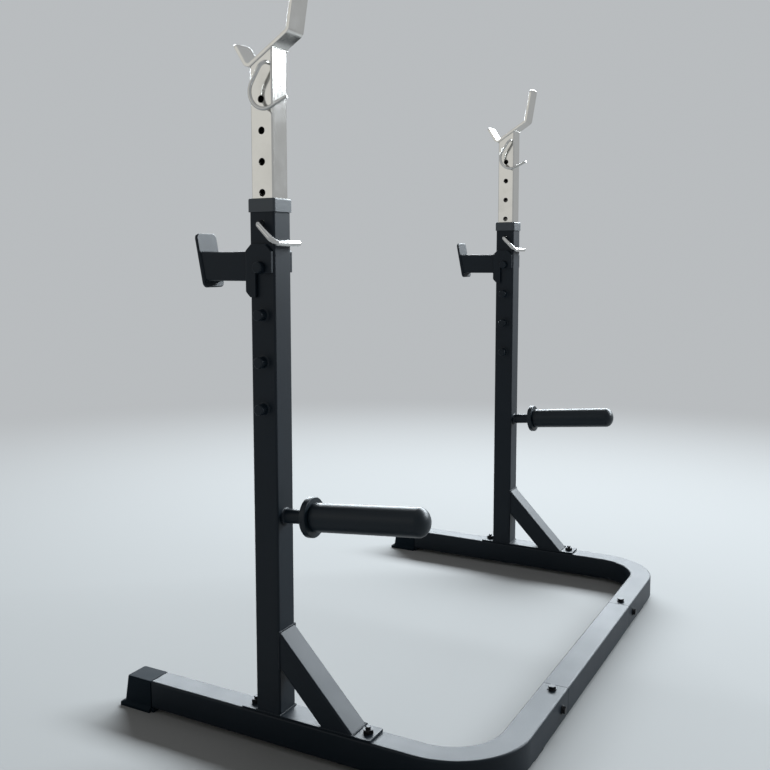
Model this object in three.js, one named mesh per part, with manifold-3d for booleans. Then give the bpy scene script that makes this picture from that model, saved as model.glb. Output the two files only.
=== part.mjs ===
// Squat stand: a bolted U-shaped base, two braced uprights with telescoping posts and bar catches,
// hang-on spotter arms and a plate horn behind each upright.
// Lengths are in millimetres. +X runs across the stand, +Y towards the closed side of its base, +Z up.
// The two sides stand alike, side by side, so each piece of a side is shaped once and placed twice.
import * as THREE from "three";
import { mergeVertices } from "three/addons/utils/BufferGeometryUtils.js";
import Module from "manifold-3d";

const wasm = await Module();
wasm.setup();

// Gap left between two pieces that rest on each other, and the overrun of every cut
const seatGap = 0.3;
const overrun = 20;

// Smoothness of round shapes, in steps
const cornerSteps = 2;
const roundSteps = 4;
const hiddenSteps = 1;
const bendSteps = 8;
const rodSides = 10;
const rodBendSteps = 4;
const roundSides = 20;
const studSides = 12;
const holeSides = 12;
const postHoleSides = 10;
const fastenerSides = 12;
const hexagonSides = 6;
const boltHoleSides = 8;

// Base: square tube bent into two corners, joined by a straight cross tube
const base = {
  tubeWidth: 50,
  tubeHeight: 52.5,
  wall: 2.5,
  corner: 4,
  halfSpacing: 575,
  frontReach: 270,
  crossReach: 405,
  bendRadius: 125,
  jointReach: 240,
  jointGap: 0.6,
};

// Splices: a sleeve inside each joint, held by one bolt from above and one from behind
const splice = {
  length: 150,
  wall: 2.5,
  clearance: 0.4,
  topBoltOffset: 20,
  rearBoltOffset: 37,
  boltDiameter: 8,
  boltHole: 9,
  boltShank: 16,
  headFlats: 13,
  headHeight: 5.3,
  washerDiameter: 17,
  washerHeight: 1.6,
  chamfer: 0.9,
};

// End caps: moulded boots whose soles carry the front of the base
const cap = {
  topLength: 60,
  waistLength: 69,
  lipLength: 77,
  waistDrop: 51,
  soleHeight: 8.5,
  soleEdge: 6,
  lipSide: 6,
  heel: 4,
  corner: 6,
  topRound: 2.5,
  plugLength: 32,
  plugWall: 4,
  plugClearance: 0.4,
};

// Pads under the back corners of the base
const pad = { width: 60, depth: 40, corner: 8, fromJoint: 150 };

// Foot plate under each upright and its two bolts
const plate = { width: 50, thickness: 4, corner: 3, front: 58, back: 203, frontBolt: 42, backBolt: 187 };
const bolt = {
  diameter: 10,
  holeDiameter: 11,
  nutFlats: 17,
  nutHeight: 6.5,
  chamfer: 1.2,
  tipAboveNut: 4.5,
  headDiameter: 21,
  headHeight: 5.5,
};

// Upright: square tube with a bush on top, a lock pin hole and studs for the spotter arm
const upright = { tube: 50, wall: 2, corner: 4, top: 896, pinBelowTop: 38, pinHole: 11.5 };
const stud = { diameter: 19, length: 18, chamfer: 1.5, belowTop: 111, pitch: 80, count: 4 };
const bush = { width: 54.5, corner: 4.5, overlap: 18.5, height: 22.5, clearance: 0.4, topRound: 1.5 };

// Brace between the upright and the back of the foot plate
const brace = { width: 50, depth: 45, wall: 2.5, corner: 4, topHeight: 155, footReach: 170 };

// Post: chromed tube with a row of holes through its sides, cut on the slope of the catch
const post = {
  tube: 44.6,
  wall: 2,
  corner: 3.5,
  bottomBelowPin: 614,
  backAbovePin: 286,
  holeDiameter: 12.5,
  holePitch: 51,
  holeCountBelowPin: 9,
  holeCountAbovePin: 4,
};

// Bar catch: one flat bar bent into a lip, a sloping seat and a tall back
const catchBar = {
  width: 50,
  thickness: 8,
  slopeDegrees: 32,
  seatAhead: 61,
  seatBehind: 41.5,
  lipLength: 48,
  backLength: 83,
  leanDegrees: 9.5,
  bendRadius: 12,
  lipCorner: 5,
  backCorner: 10,
};

// Wire hook on the +X side of each post
const hook = {
  diameter: 6.5,
  chamfer: 1,
  standOff: 18.8,
  rootBack: 15.6,
  rootBelowBack: 25.2,
  dropRun: 73.7,
  dropFall: 112.9,
  tailRun: 121.5,
  tailRise: 52.5,
  rootBend: 12.5,
  loopBend: 29.4,
};

// Lock pin: a bent rod that crosses the upright and the post, then turns back behind the upright
const pin = {
  diameter: 10,
  standOff: 13,
  tipPast: 10,
  tailBehind: 8,
  tailDrop: 33,
  tailPast: 13,
  rootBend: 8,
  tailBend: 14,
  chamfer: 1,
};

// Plate horn: a bar with a stop flange and a round-nosed sleeve, tilted up behind the upright
const horn = {
  height: 356,
  tiltDegrees: 5.2,
  barDiameter: 25,
  barWall: 3,
  flangeAt: 48.5,
  flangeDiameter: 70,
  flangeThickness: 11.5,
  chamfer: 1.5,
  sleeveDiameter: 49.5,
  sleeveLength: 215,
  sleeveNose: 19,
  sleeveEnd: 16,
  clearance: 0.4,
};

// Spotter arm: a channel that hangs on one stud, a square tube and a sloping stop plate
const spotter = {
  channel: 6,
  sideClearance: 0.8,
  notchClearance: 0.4,
  topAboveStud: 39,
  hemBelowStud: 8.8,
  fingerBelowStud: 50,
  fingerChamfer: 11,
  cornerChamfer: 13,
  sideBack: 22.8,
  armAboveStud: 27,
  armTube: 50,
  armWall: 2.5,
  armCorner: 4,
  stopTopReach: 142.7,
  stopBottomReach: 124.6,
  stopAboveStud: 58.5,
  stopBelowStud: 35.3,
  stopWidth: 55,
  stopThickness: 6,
  stopCorner: 9,
};

// Places that several pieces share, worked out from the sizes above
const railTop = cap.soleHeight + base.tubeHeight;
const railMiddle = railTop - base.tubeHeight / 2;
const railHalfWidth = base.tubeWidth / 2;
const railBoreWidth = base.tubeWidth - 2 * base.wall;
const railBoreHeight = base.tubeHeight - 2 * base.wall;
const uprightHalf = upright.tube / 2;
const postHalf = post.tube / 2;
const plateTop = seatGap + plate.thickness;
const pinHeight = upright.top - upright.pinBelowTop;
const topStud = upright.top - stud.belowTop;
const postBack = pinHeight + post.backAbovePin;

const paint = new THREE.MeshStandardMaterial({ color: 0x23272e, roughness: 0.38, metalness: 0.25 });
const chrome = new THREE.MeshStandardMaterial({ color: 0xd8d8d4, roughness: 0.12, metalness: 1 });
const greyPlastic = new THREE.MeshStandardMaterial({ color: 0x54575a, roughness: 0.55, metalness: 0 });
const blackPlastic = new THREE.MeshStandardMaterial({ color: 0x141517, roughness: 0.3, metalness: 0 });
const rubber = new THREE.MeshStandardMaterial({ color: 0x18191a, roughness: 0.85, metalness: 0 });
const blackSteel = new THREE.MeshStandardMaterial({ color: 0x15161a, roughness: 0.45, metalness: 0.7 });

// Solids

function toSolid(geometry) {
  const bare = geometry.clone();
  bare.deleteAttribute("normal");
  bare.deleteAttribute("uv");
  const merged = mergeVertices(bare);
  return new wasm.Manifold(
    new wasm.Mesh({
      numProp: 3,
      vertProperties: new Float32Array(merged.attributes.position.array),
      triVerts: new Uint32Array(merged.index.array),
    }),
  );
}

function toGeometry(solid) {
  const made = solid.getMesh();
  const geometry = new THREE.BufferGeometry();
  geometry.setAttribute("position", new THREE.BufferAttribute(made.vertProperties, made.numProp));
  geometry.setIndex(new THREE.BufferAttribute(made.triVerts, 1));
  return geometry;
}

function join(...geometries) {
  return toGeometry(geometries.map(toSolid).reduce((whole, piece) => whole.add(piece)));
}

function cut(geometry, ...tools) {
  return toGeometry(tools.map(toSolid).reduce((rest, tool) => rest.subtract(tool), toSolid(geometry)));
}

function keep(geometry, region) {
  return toGeometry(toSolid(geometry).intersect(toSolid(region)));
}

// Box between two corners, each [x, y, z]
function boxBetween(low, high) {
  const size = high.map((value, axis) => value - low[axis]);
  const middle = high.map((value, axis) => (value + low[axis]) / 2);
  return new THREE.BoxGeometry(...size).translate(...middle);
}

// Rounded rectangle as a shape, counter-clockwise round its middle
function roundedRectangle(width, height, radius, Kind = THREE.Shape) {
  const right = width / 2 - radius;
  const top = height / 2 - radius;
  const outline = new Kind();
  outline.absarc(right, top, radius, 0, Math.PI / 2);
  outline.absarc(-right, top, radius, Math.PI / 2, Math.PI);
  outline.absarc(-right, -top, radius, Math.PI, (3 * Math.PI) / 2);
  outline.absarc(right, -top, radius, (3 * Math.PI) / 2, 2 * Math.PI);
  outline.closePath();
  return outline;
}

// Upright slab of a shape, from one height to another
function slab(shape, bottom, top, steps = cornerSteps) {
  const options = { depth: top - bottom, bevelEnabled: false, curveSegments: steps };
  return new THREE.ExtrudeGeometry(shape, options).translate(0, 0, bottom);
}

// Upright length of rectangular tube, open at both ends
function tubeLength(width, depth, wall, corner, bottom, top) {
  const section = roundedRectangle(width, depth, corner);
  section.holes.push(roundedRectangle(width - 2 * wall, depth - 2 * wall, corner - wall / 2, THREE.Path));
  return slab(section, bottom, top);
}

// Solid of revolution about +Z; the profile runs from the axis up the outside and back to the axis
function turned(profile, sides = roundSides) {
  return new THREE.LatheGeometry(
    profile.map(([radius, height]) => new THREE.Vector2(radius, height)),
    sides,
  ).rotateX(Math.PI / 2);
}

// Round bar along +Z with chamfered ends
function bar(diameter, bottom, top, chamfer, sides = roundSides) {
  const radius = diameter / 2;
  return turned(
    [
      [0, bottom],
      [radius - chamfer, bottom],
      [radius, bottom + chamfer],
      [radius, top - chamfer],
      [radius - chamfer, top],
      [0, top],
    ],
    sides,
  );
}

// Plain round tool for a hole, along +Z
function drill(diameter, bottom, top, sides = holeSides) {
  return new THREE.CylinderGeometry(diameter / 2, diameter / 2, top - bottom, sides)
    .rotateX(Math.PI / 2)
    .translate(0, 0, (bottom + top) / 2);
}

// Route of a bent bar: straight runs between the corner points, with an arc of the given radius at each
function route(points, radii, steps) {
  const stations = [];
  points.forEach((point, index) => {
    const before = points[index - 1];
    const after = points[index + 1];
    if (!before || !after) {
      const along = after ? after.clone().sub(point) : point.clone().sub(before);
      stations.push({ at: point.clone(), along: along.normalize() });
      return;
    }
    const into = point.clone().sub(before).normalize();
    const out = after.clone().sub(point).normalize();
    const turn = into.angleTo(out);
    const radius = radii[index - 1];
    const start = point.clone().addScaledVector(into, -radius * Math.tan(turn / 2));
    const towardsMiddle = out.clone().addScaledVector(into, -out.dot(into)).normalize();
    for (let step = 0; step <= steps; step += 1) {
      const angle = (turn * step) / steps;
      const at = start
        .clone()
        .addScaledVector(into, radius * Math.sin(angle))
        .addScaledVector(towardsMiddle, radius * (1 - Math.cos(angle)));
      const along = into
        .clone()
        .multiplyScalar(Math.cos(angle))
        .addScaledVector(towardsMiddle, Math.sin(angle));
      stations.push({ at, along });
    }
  });
  return stations;
}

// Solid through a row of rings that all have the same number of points, counter-clockwise from ahead
function loft(rings) {
  const count = rings[0].length;
  const faces = [];
  for (let ring = 1; ring < rings.length; ring += 1) {
    for (let point = 0; point < count; point += 1) {
      const next = (point + 1) % count;
      const [a, b] = [(ring - 1) * count + point, (ring - 1) * count + next];
      const [c, d] = [ring * count + next, ring * count + point];
      faces.push(a, b, c, a, c, d);
    }
  }
  const last = (rings.length - 1) * count;
  for (let point = 1; point + 1 < count; point += 1) {
    faces.push(0, point + 1, point, last, last + point, last + point + 1);
  }
  const geometry = new THREE.BufferGeometry().setFromPoints(rings.flat());
  geometry.setIndex(faces);
  return geometry;
}

// Sweep of a section along a route; the section's first axis lies across, its second along up
function sweep(stations, up, sectionAt) {
  const carried = up.clone();
  return loft(
    stations.map(({ at, along }, index) => {
      if (index > 0) {
        const turn = new THREE.Quaternion().setFromUnitVectors(stations[index - 1].along, along);
        carried.applyQuaternion(turn);
      }
      const across = carried.clone().cross(along);
      return sectionAt(index).map(([x, y]) =>
        at.clone().addScaledVector(across, x).addScaledVector(carried, y),
      );
    }),
  );
}

function circleSection(diameter, sides) {
  return Array.from({ length: sides }, (_, index) => {
    const angle = (2 * Math.PI * index) / sides;
    return [(diameter / 2) * Math.cos(angle), (diameter / 2) * Math.sin(angle)];
  });
}

function rectangleSection(width, height, radius, steps = cornerSteps) {
  return roundedRectangle(width, height, radius)
    .extractPoints(steps)
    .shape.map(({ x, y }) => [x, y]);
}

// Bent round rod with both ends chamfered
function rod(diameter, chamfer, stations, up) {
  const first = stations[0];
  const last = stations[stations.length - 1];
  const shifted = ({ at, along }, by) => ({ at: at.clone().addScaledVector(along, by), along });
  const all = [first, shifted(first, chamfer), ...stations.slice(1, -1), shifted(last, -chamfer), last];
  const narrow = circleSection(diameter - 2 * chamfer, rodSides);
  const full = circleSection(diameter, rodSides);
  return sweep(all, up, (index) => (index === 0 || index === all.length - 1 ? narrow : full));
}

const vector = (x, y, z) => new THREE.Vector3(x, y, z);

// Base

// Route of one side's rail, from its front end round the back corner to the joint
function railRoute(side, startBeyond, endBeyond) {
  const x = side * base.halfSpacing;
  const jointEnd = base.jointReach + base.jointGap / 2;
  return route(
    [
      vector(x, -base.frontReach - startBeyond, railMiddle),
      vector(x, base.crossReach, railMiddle),
      vector(side * (jointEnd - endBeyond), base.crossReach, railMiddle),
    ],
    [base.bendRadius],
    bendSteps,
  );
}

function railGeometry(side) {
  const up = vector(0, 0, 1);
  const outer = rectangleSection(base.tubeWidth, base.tubeHeight, base.corner);
  const innerCorner = base.corner - base.wall / 2;
  const inner = rectangleSection(railBoreWidth, railBoreHeight, innerCorner, hiddenSteps);
  const body = sweep(railRoute(side, 0, 0), up, () => outer);
  const bore = sweep(railRoute(side, overrun, overrun), up, () => inner);
  const x = side * base.halfSpacing;
  const boltHoles = [-plate.frontBolt, plate.backBolt].map((y) =>
    drill(bolt.holeDiameter, -overrun, railTop + overrun, boltHoleSides).translate(x, y, 0),
  );
  return cut(body, bore, ...boltHoles, ...spliceHoles(side));
}

// Holes for a splice's two bolts, through the tube's upper wall and its back wall only
function spliceHoles(side) {
  const topX = side * (base.jointReach + splice.topBoltOffset);
  const rearX = side * (base.jointReach + splice.rearBoltOffset);
  const top = drill(splice.boltHole, railMiddle, railTop + overrun, boltHoleSides)
    .translate(topX, base.crossReach, 0);
  const rear = drill(splice.boltHole, 0, railHalfWidth + overrun, boltHoleSides)
    .rotateX(-Math.PI / 2)
    .translate(rearX, base.crossReach, railMiddle);
  return [top, rear];
}

function crossTubeGeometry() {
  const end = base.jointReach - base.jointGap / 2;
  return tubeLength(base.tubeHeight, base.tubeWidth, base.wall, base.corner, -end, end)
    .rotateY(Math.PI / 2)
    .translate(0, base.crossReach, railMiddle);
}

function spliceGeometry(side) {
  const height = railBoreHeight - 2 * splice.clearance;
  const width = railBoreWidth - 2 * splice.clearance;
  const sleeve = tubeLength(height, width, splice.wall, base.corner, -splice.length / 2, splice.length / 2)
    .rotateY(Math.PI / 2)
    .translate(side * base.jointReach, base.crossReach, railMiddle);
  return cut(sleeve, ...spliceHoles(side));
}

// Hexagonal prism along +Z with its upper corners turned off
function hexagon(flats, bottom, top, chamfer) {
  const corner = flats / Math.sqrt(3);
  const prism = new THREE.CylinderGeometry(corner, corner, top - bottom, hexagonSides)
    .rotateX(Math.PI / 2)
    .translate(0, 0, (bottom + top) / 2);
  const blank = turned(
    [
      [0, bottom],
      [corner + chamfer, bottom],
      [corner + chamfer, top - chamfer],
      [corner - chamfer, top],
      [0, top],
    ],
    fastenerSides,
  );
  return keep(prism, blank);
}

// Splice bolt standing on z = 0, its shank below
function spliceBoltGeometry() {
  const washerTop = seatGap + splice.washerHeight;
  const headTop = washerTop + splice.headHeight;
  return join(
    bar(splice.washerDiameter, seatGap, washerTop, splice.chamfer / 2, fastenerSides),
    hexagon(splice.headFlats, washerTop - splice.chamfer / 2, headTop, splice.chamfer),
    bar(splice.boltDiameter, -splice.boltShank, washerTop, splice.chamfer, holeSides),
  );
}

// Foot bolt: round head under the rail, shank up through the plate and out of the nut
function footBoltGeometry() {
  const underside = -base.tubeHeight - seatGap;
  const headBottom = underside - bolt.headHeight;
  const radius = bolt.headDiameter / 2;
  const shank = bolt.diameter / 2;
  const tip = plateTop + seatGap + bolt.nutHeight + bolt.tipAboveNut;
  const dome = Array.from({ length: cornerSteps + 1 }, (_, step) => {
    const angle = (Math.PI / 2) * (step / cornerSteps);
    return [radius * Math.sin(angle), underside - bolt.headHeight * Math.cos(angle)];
  });
  dome[0] = [0, headBottom];
  return turned(
    [
      ...dome,
      [shank, underside],
      [shank, tip - bolt.chamfer],
      [shank - bolt.chamfer, tip],
      [0, tip],
    ],
    holeSides,
  );
}

function nutGeometry() {
  const bottom = plateTop + seatGap;
  const top = bottom + bolt.nutHeight;
  const bore = drill(bolt.diameter + 2 * seatGap, bottom - overrun, top + overrun);
  return cut(hexagon(bolt.nutFlats, bottom, top, bolt.chamfer), bore);
}

// Ring of a rounded rectangle lying flat, between two Y values
function flatRing(halfWidth, front, back, corner, height) {
  const middle = (front + back) / 2;
  return rectangleSection(2 * halfWidth, back - front, corner).map(([x, y]) =>
    vector(x, y + middle, height),
  );
}

// Ring of the end cap at one height, square at the seam and rounded at the front
function capRing(halfWidth, reach, corner, height) {
  const seam = -base.frontReach - seatGap;
  const front = -base.frontReach - reach;
  const outline = new THREE.Shape();
  outline.absarc(-halfWidth + corner, front + corner, corner, Math.PI, (3 * Math.PI) / 2);
  outline.absarc(halfWidth - corner, front + corner, corner, (3 * Math.PI) / 2, 2 * Math.PI);
  outline.lineTo(halfWidth, seam);
  outline.lineTo(-halfWidth, seam);
  outline.closePath();
  return outline.extractPoints(cornerSteps).shape.map(({ x, y }) => vector(x, y, height));
}

// End cap in the rail's own place, its middle at x = 0
function endCapGeometry() {
  const half = railHalfWidth;
  const seam = -base.frontReach - seatGap;
  const floorRing = capRing(half + cap.lipSide, cap.lipLength, cap.corner, 0);
  const edgeRing = capRing(half + cap.lipSide, cap.lipLength, cap.corner, cap.soleEdge);
  const waistRing = capRing(half, cap.waistLength, base.corner, railTop - cap.waistDrop);
  const shoulderRing = capRing(half, cap.topLength, base.corner, railTop - cap.topRound);
  const crownRing = capRing(
    half - cap.topRound,
    cap.topLength - cap.topRound,
    base.corner - cap.topRound / 2,
    railTop,
  );
  const boot = loft([floorRing, edgeRing, waistRing, shoulderRing, crownRing]);
  const heel = boxBetween(
    [-half, seam - cap.heel, 0],
    [half, -base.frontReach + cap.heel, cap.soleHeight - seatGap],
  );
  const plugEnd = -base.frontReach + cap.plugLength;
  const insert = (margin, start, end) => {
    const section = roundedRectangle(
      railBoreWidth - 2 * margin,
      railBoreHeight - 2 * margin,
      base.corner / 2,
    );
    return slab(section, start, end)
      .rotateX(-Math.PI / 2)
      .translate(0, 0, railMiddle);
  };
  const plug = insert(cap.plugClearance, seam - cap.heel, plugEnd);
  const hollow = insert(cap.plugClearance + cap.plugWall, seam, plugEnd + overrun);
  return cut(join(boot, heel, plug), hollow);
}

function padGeometry() {
  const outline = roundedRectangle(pad.width, pad.depth, pad.corner);
  return slab(outline, 0, cap.soleHeight - seatGap, roundSteps);
}

// Upright, with z = 0 at the top of the rail

function footPlateGeometry() {
  const length = plate.front + plate.back;
  const middle = (plate.back - plate.front) / 2;
  const blank = slab(roundedRectangle(plate.width, length, plate.corner), seatGap, plateTop);
  const holes = [-plate.frontBolt, plate.backBolt].map((y) =>
    drill(bolt.holeDiameter, -overrun, plateTop + overrun, boltHoleSides).translate(0, y - middle, 0),
  );
  return cut(blank, ...holes).translate(0, middle, 0);
}

const studHeights = Array.from({ length: stud.count }, (_, index) => topStud - index * stud.pitch);

function uprightGeometry() {
  const body = tubeLength(
    upright.tube,
    upright.tube,
    upright.wall,
    upright.corner,
    plateTop + seatGap,
    upright.top,
  );
  const root = uprightHalf - upright.wall / 2;
  const tip = uprightHalf + stud.length;
  const radius = stud.diameter / 2;
  const profile = [
    [0, root],
    [radius, root],
    [radius, tip - stud.chamfer],
    [radius - stud.chamfer, tip],
    [0, tip],
  ];
  const studs = studHeights.flatMap((height) =>
    [1, -1].map((side) =>
      turned(profile, studSides)
        .rotateY((side * Math.PI) / 2)
        .translate(0, 0, height),
    ),
  );
  const pinHole = drill(upright.pinHole, -uprightHalf - overrun, uprightHalf + overrun)
    .rotateY(Math.PI / 2)
    .translate(0, 0, pinHeight);
  return cut(join(body, ...studs), pinHole);
}

function bushGeometry() {
  const bottom = upright.top - bush.overlap;
  const top = bottom + bush.height;
  const pocket = upright.tube + 2 * seatGap;
  const opening = post.tube + 2 * bush.clearance;
  const ring = (width, corner, height) => flatRing(width / 2, -width / 2, width / 2, corner, height);
  const crown = bush.width - 2 * bush.topRound;
  const body = loft([
    ring(bush.width, bush.corner, bottom),
    ring(bush.width, bush.corner, top - bush.topRound),
    ring(crown, bush.corner - bush.topRound / 2, top),
  ]);
  return cut(
    body,
    slab(
      roundedRectangle(pocket, pocket, upright.corner),
      bottom - overrun,
      upright.top + seatGap,
    ),
    slab(roundedRectangle(opening, opening, post.corner), bottom, top + overrun),
  );
}

// Brace: its upper face meets the upright's back at topHeight and the plate at footReach
function braceGeometry() {
  const rise = brace.topHeight - plateTop;
  const run = brace.footReach - uprightHalf;
  const slope = Math.atan2(rise, run);
  const length = Math.hypot(rise, run);
  const spare = 2 * brace.depth;
  const body = tubeLength(brace.width, brace.depth, brace.wall, brace.corner, -spare, length + spare)
    .translate(0, -brace.depth / 2, 0)
    .rotateX(Math.PI / 2 - slope)
    .translate(0, brace.footReach, plateTop);
  const room = boxBetween(
    [-brace.width, uprightHalf + seatGap, plateTop + seatGap],
    [brace.width, brace.footReach + length, brace.topHeight + length],
  );
  return keep(body, room);
}

// Telescoping post and what is welded to it

const seatSlope = THREE.MathUtils.degToRad(catchBar.slopeDegrees);

// Place above the post's sloping end: along runs up the slope from the back top edge, lift away from it
function onSlope(along, lift) {
  return vector(
    0,
    postHalf + along * Math.cos(seatSlope) - lift * Math.sin(seatSlope),
    postBack + along * Math.sin(seatSlope) + lift * Math.cos(seatSlope),
  );
}

function postGeometry() {
  const bottom = pinHeight - post.bottomBelowPin;
  const top = postBack + post.tube;
  const body = tubeLength(post.tube, post.tube, post.wall, post.corner, bottom, top);
  const waste = boxBetween([-post.tube, -2 * post.tube, 0], [post.tube, 2 * post.tube, 2 * post.tube])
    .rotateX(seatSlope)
    .translate(0, postHalf, postBack);
  const count = post.holeCountBelowPin + post.holeCountAbovePin + 1;
  const holes = Array.from({ length: count }, (_, index) =>
    drill(post.holeDiameter, -post.tube, post.tube, postHoleSides)
      .rotateY(Math.PI / 2)
      .translate(0, 0, pinHeight + (index - post.holeCountBelowPin) * post.holePitch),
  );
  return cut(body, waste, ...holes);
}

// Half width of the catch at a distance from one end, where its corners are rounded
function roundedHalf(distance, corner) {
  const half = catchBar.width / 2;
  if (distance >= corner) return half;
  return half - corner + Math.sqrt(corner ** 2 - (corner - distance) ** 2);
}

function catchGeometry() {
  const lift = seatGap + catchBar.thickness / 2;
  const lean = THREE.MathUtils.degToRad(catchBar.leanDegrees);
  const lipFoot = onSlope(-catchBar.seatAhead + catchBar.thickness / 2, lift);
  const lipTip = onSlope(-catchBar.seatAhead + catchBar.thickness / 2, seatGap + catchBar.lipLength);
  const backFoot = onSlope(catchBar.seatBehind - catchBar.thickness / 2, lift);
  const backTop = backFoot
    .clone()
    .add(vector(0, catchBar.backLength * Math.sin(lean), catchBar.backLength * Math.cos(lean)));
  const bends = [catchBar.bendRadius, catchBar.bendRadius];
  const stations = route([lipTip, lipFoot, backFoot, backTop], bends, rodBendSteps);
  const first = stations[0];
  const last = stations[stations.length - 1];
  const nearEnd = (end, sign, corner) =>
    Array.from({ length: roundSteps }, (_, step) => {
      const distance = corner * (1 - Math.cos(((step + 1) / roundSteps) * (Math.PI / 2)));
      return { at: end.at.clone().addScaledVector(end.along, sign * distance), along: end.along };
    });
  const all = [
    first,
    ...nearEnd(first, 1, catchBar.lipCorner),
    ...stations.slice(1, -1),
    ...nearEnd(last, -1, catchBar.backCorner).reverse(),
    last,
  ];
  return sweep(all, vector(1, 0, 0), (index) => {
    const fromFirst = all[index].at.distanceTo(first.at);
    const fromLast = all[index].at.distanceTo(last.at);
    const half = Math.min(
      roundedHalf(fromFirst, catchBar.lipCorner),
      roundedHalf(fromLast, catchBar.backCorner),
    );
    const thin = catchBar.thickness / 2;
    return [
      [-thin, -half],
      [thin, -half],
      [thin, half],
      [-thin, half],
    ];
  });
}

function hookGeometry() {
  const plane = postHalf + hook.standOff;
  const rootHeight = postBack - hook.rootBelowBack;
  const loop = vector(plane, hook.rootBack - hook.dropRun, rootHeight - hook.dropFall);
  const stations = route(
    [
      vector(postHalf + seatGap, hook.rootBack, rootHeight),
      vector(plane, hook.rootBack, rootHeight),
      loop,
      loop.clone().add(vector(0, hook.tailRun, hook.tailRise)),
    ],
    [hook.rootBend, hook.loopBend],
    rodBendSteps,
  );
  return rod(hook.diameter, hook.chamfer, stations, vector(0, 0, 1));
}

function lockPinGeometry() {
  const plane = uprightHalf + pin.standOff;
  const behind = uprightHalf + pin.tailBehind;
  const tailHeight = pinHeight - pin.tailDrop;
  const stations = route(
    [
      vector(-uprightHalf - pin.tipPast, 0, pinHeight),
      vector(plane, 0, pinHeight),
      vector(plane, behind, tailHeight),
      vector(-uprightHalf - pin.tailPast, behind, tailHeight),
    ],
    [pin.rootBend, pin.tailBend],
    rodBendSteps,
  );
  return rod(pin.diameter, pin.chamfer, stations, vector(0, 0, 1));
}

// Plate horn, along +Z from the upright's back face

const sleeveStart = horn.flangeAt + horn.flangeThickness + seatGap;
const sleeveTip = sleeveStart + horn.sleeveLength;
const sleeveBoreEnd = sleeveTip - horn.sleeveEnd;

function hornBarGeometry() {
  const tilt = THREE.MathUtils.degToRad(horn.tiltDegrees);
  const core = bar(horn.barDiameter, -overrun, sleeveBoreEnd - horn.clearance, horn.chamfer);
  const bore = drill(horn.barDiameter - 2 * horn.barWall, -2 * overrun, sleeveTip);
  const reach = horn.barDiameter + overrun;
  const wallSide = boxBetween([-reach, -reach, -2 * overrun], [reach, reach, seatGap]).rotateX(-tilt);
  return cut(core, bore, wallSide);
}

function hornFlangeGeometry() {
  const top = horn.flangeAt + horn.flangeThickness;
  const bore = drill(horn.barDiameter + 2 * seatGap, horn.flangeAt - overrun, top + overrun, roundSides);
  return cut(bar(horn.flangeDiameter, horn.flangeAt, top, horn.chamfer), bore);
}

function hornSleeveGeometry() {
  const radius = horn.sleeveDiameter / 2;
  const bore = horn.barDiameter / 2 + horn.clearance;
  const nose = Array.from({ length: roundSteps + 1 }, (_, step) => {
    const angle = (Math.PI / 2) * (step / roundSteps);
    return [radius * Math.cos(angle), sleeveTip - horn.sleeveNose * (1 - Math.sin(angle))];
  });
  nose[roundSteps] = [0, sleeveTip];
  return turned([
    [0, sleeveBoreEnd],
    [bore, sleeveBoreEnd],
    [bore, sleeveStart],
    [radius - horn.chamfer, sleeveStart],
    [radius, sleeveStart + horn.chamfer],
    ...nose,
  ]);
}

// Spotter arm, with z = 0 at the stud that it hangs on

const channelFront = -(uprightHalf + spotter.sideClearance + spotter.channel);

// Outline of the channel seen from the side, clockwise from the chamfer above its finger; x is depth
function channelOutline() {
  const notch = stud.diameter / 2 + spotter.notchClearance;
  const outline = new THREE.Shape();
  outline.moveTo(channelFront, -spotter.fingerBelowStud + spotter.fingerChamfer);
  outline.lineTo(channelFront, spotter.topAboveStud - spotter.cornerChamfer);
  outline.lineTo(channelFront + spotter.cornerChamfer, spotter.topAboveStud);
  outline.lineTo(spotter.sideBack - spotter.cornerChamfer, spotter.topAboveStud);
  outline.lineTo(spotter.sideBack, spotter.topAboveStud - spotter.cornerChamfer);
  outline.lineTo(spotter.sideBack, -spotter.hemBelowStud);
  outline.lineTo(notch, -spotter.hemBelowStud);
  outline.lineTo(notch, 0);
  outline.absarc(0, 0, notch, 0, Math.PI, false);
  outline.lineTo(-notch, -spotter.fingerBelowStud);
  outline.lineTo(channelFront + spotter.fingerChamfer, -spotter.fingerBelowStud);
  outline.closePath();
  return outline;
}

function channelGeometry() {
  const halfWidth = uprightHalf + spotter.sideClearance + spotter.channel;
  const block = slab(channelOutline(), -halfWidth, halfWidth, roundSteps)
    .rotateY(Math.PI / 2)
    .rotateX(Math.PI / 2);
  const inside = uprightHalf + spotter.sideClearance;
  const room = boxBetween(
    [-inside, -inside, -spotter.fingerBelowStud - overrun],
    [inside, inside + overrun, spotter.topAboveStud + overrun],
  );
  return cut(block, room);
}

// The stop plate's front face, from its foot to its top
const stopFoot = vector(0, -spotter.stopBottomReach, -spotter.stopBelowStud);
const stopTop = vector(0, -spotter.stopTopReach, spotter.stopAboveStud);
const stopRise = stopTop.clone().sub(stopFoot);
const stopLean = Math.atan2(-stopRise.y, stopRise.z);

function stopGeometry() {
  const length = stopRise.length();
  const outline = roundedRectangle(spotter.stopWidth, length, spotter.stopCorner);
  return slab(outline, -spotter.stopThickness, 0, roundSteps)
    .translate(0, length / 2, 0)
    .rotateX(Math.PI / 2 + stopLean)
    .translate(...stopFoot.toArray());
}

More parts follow.
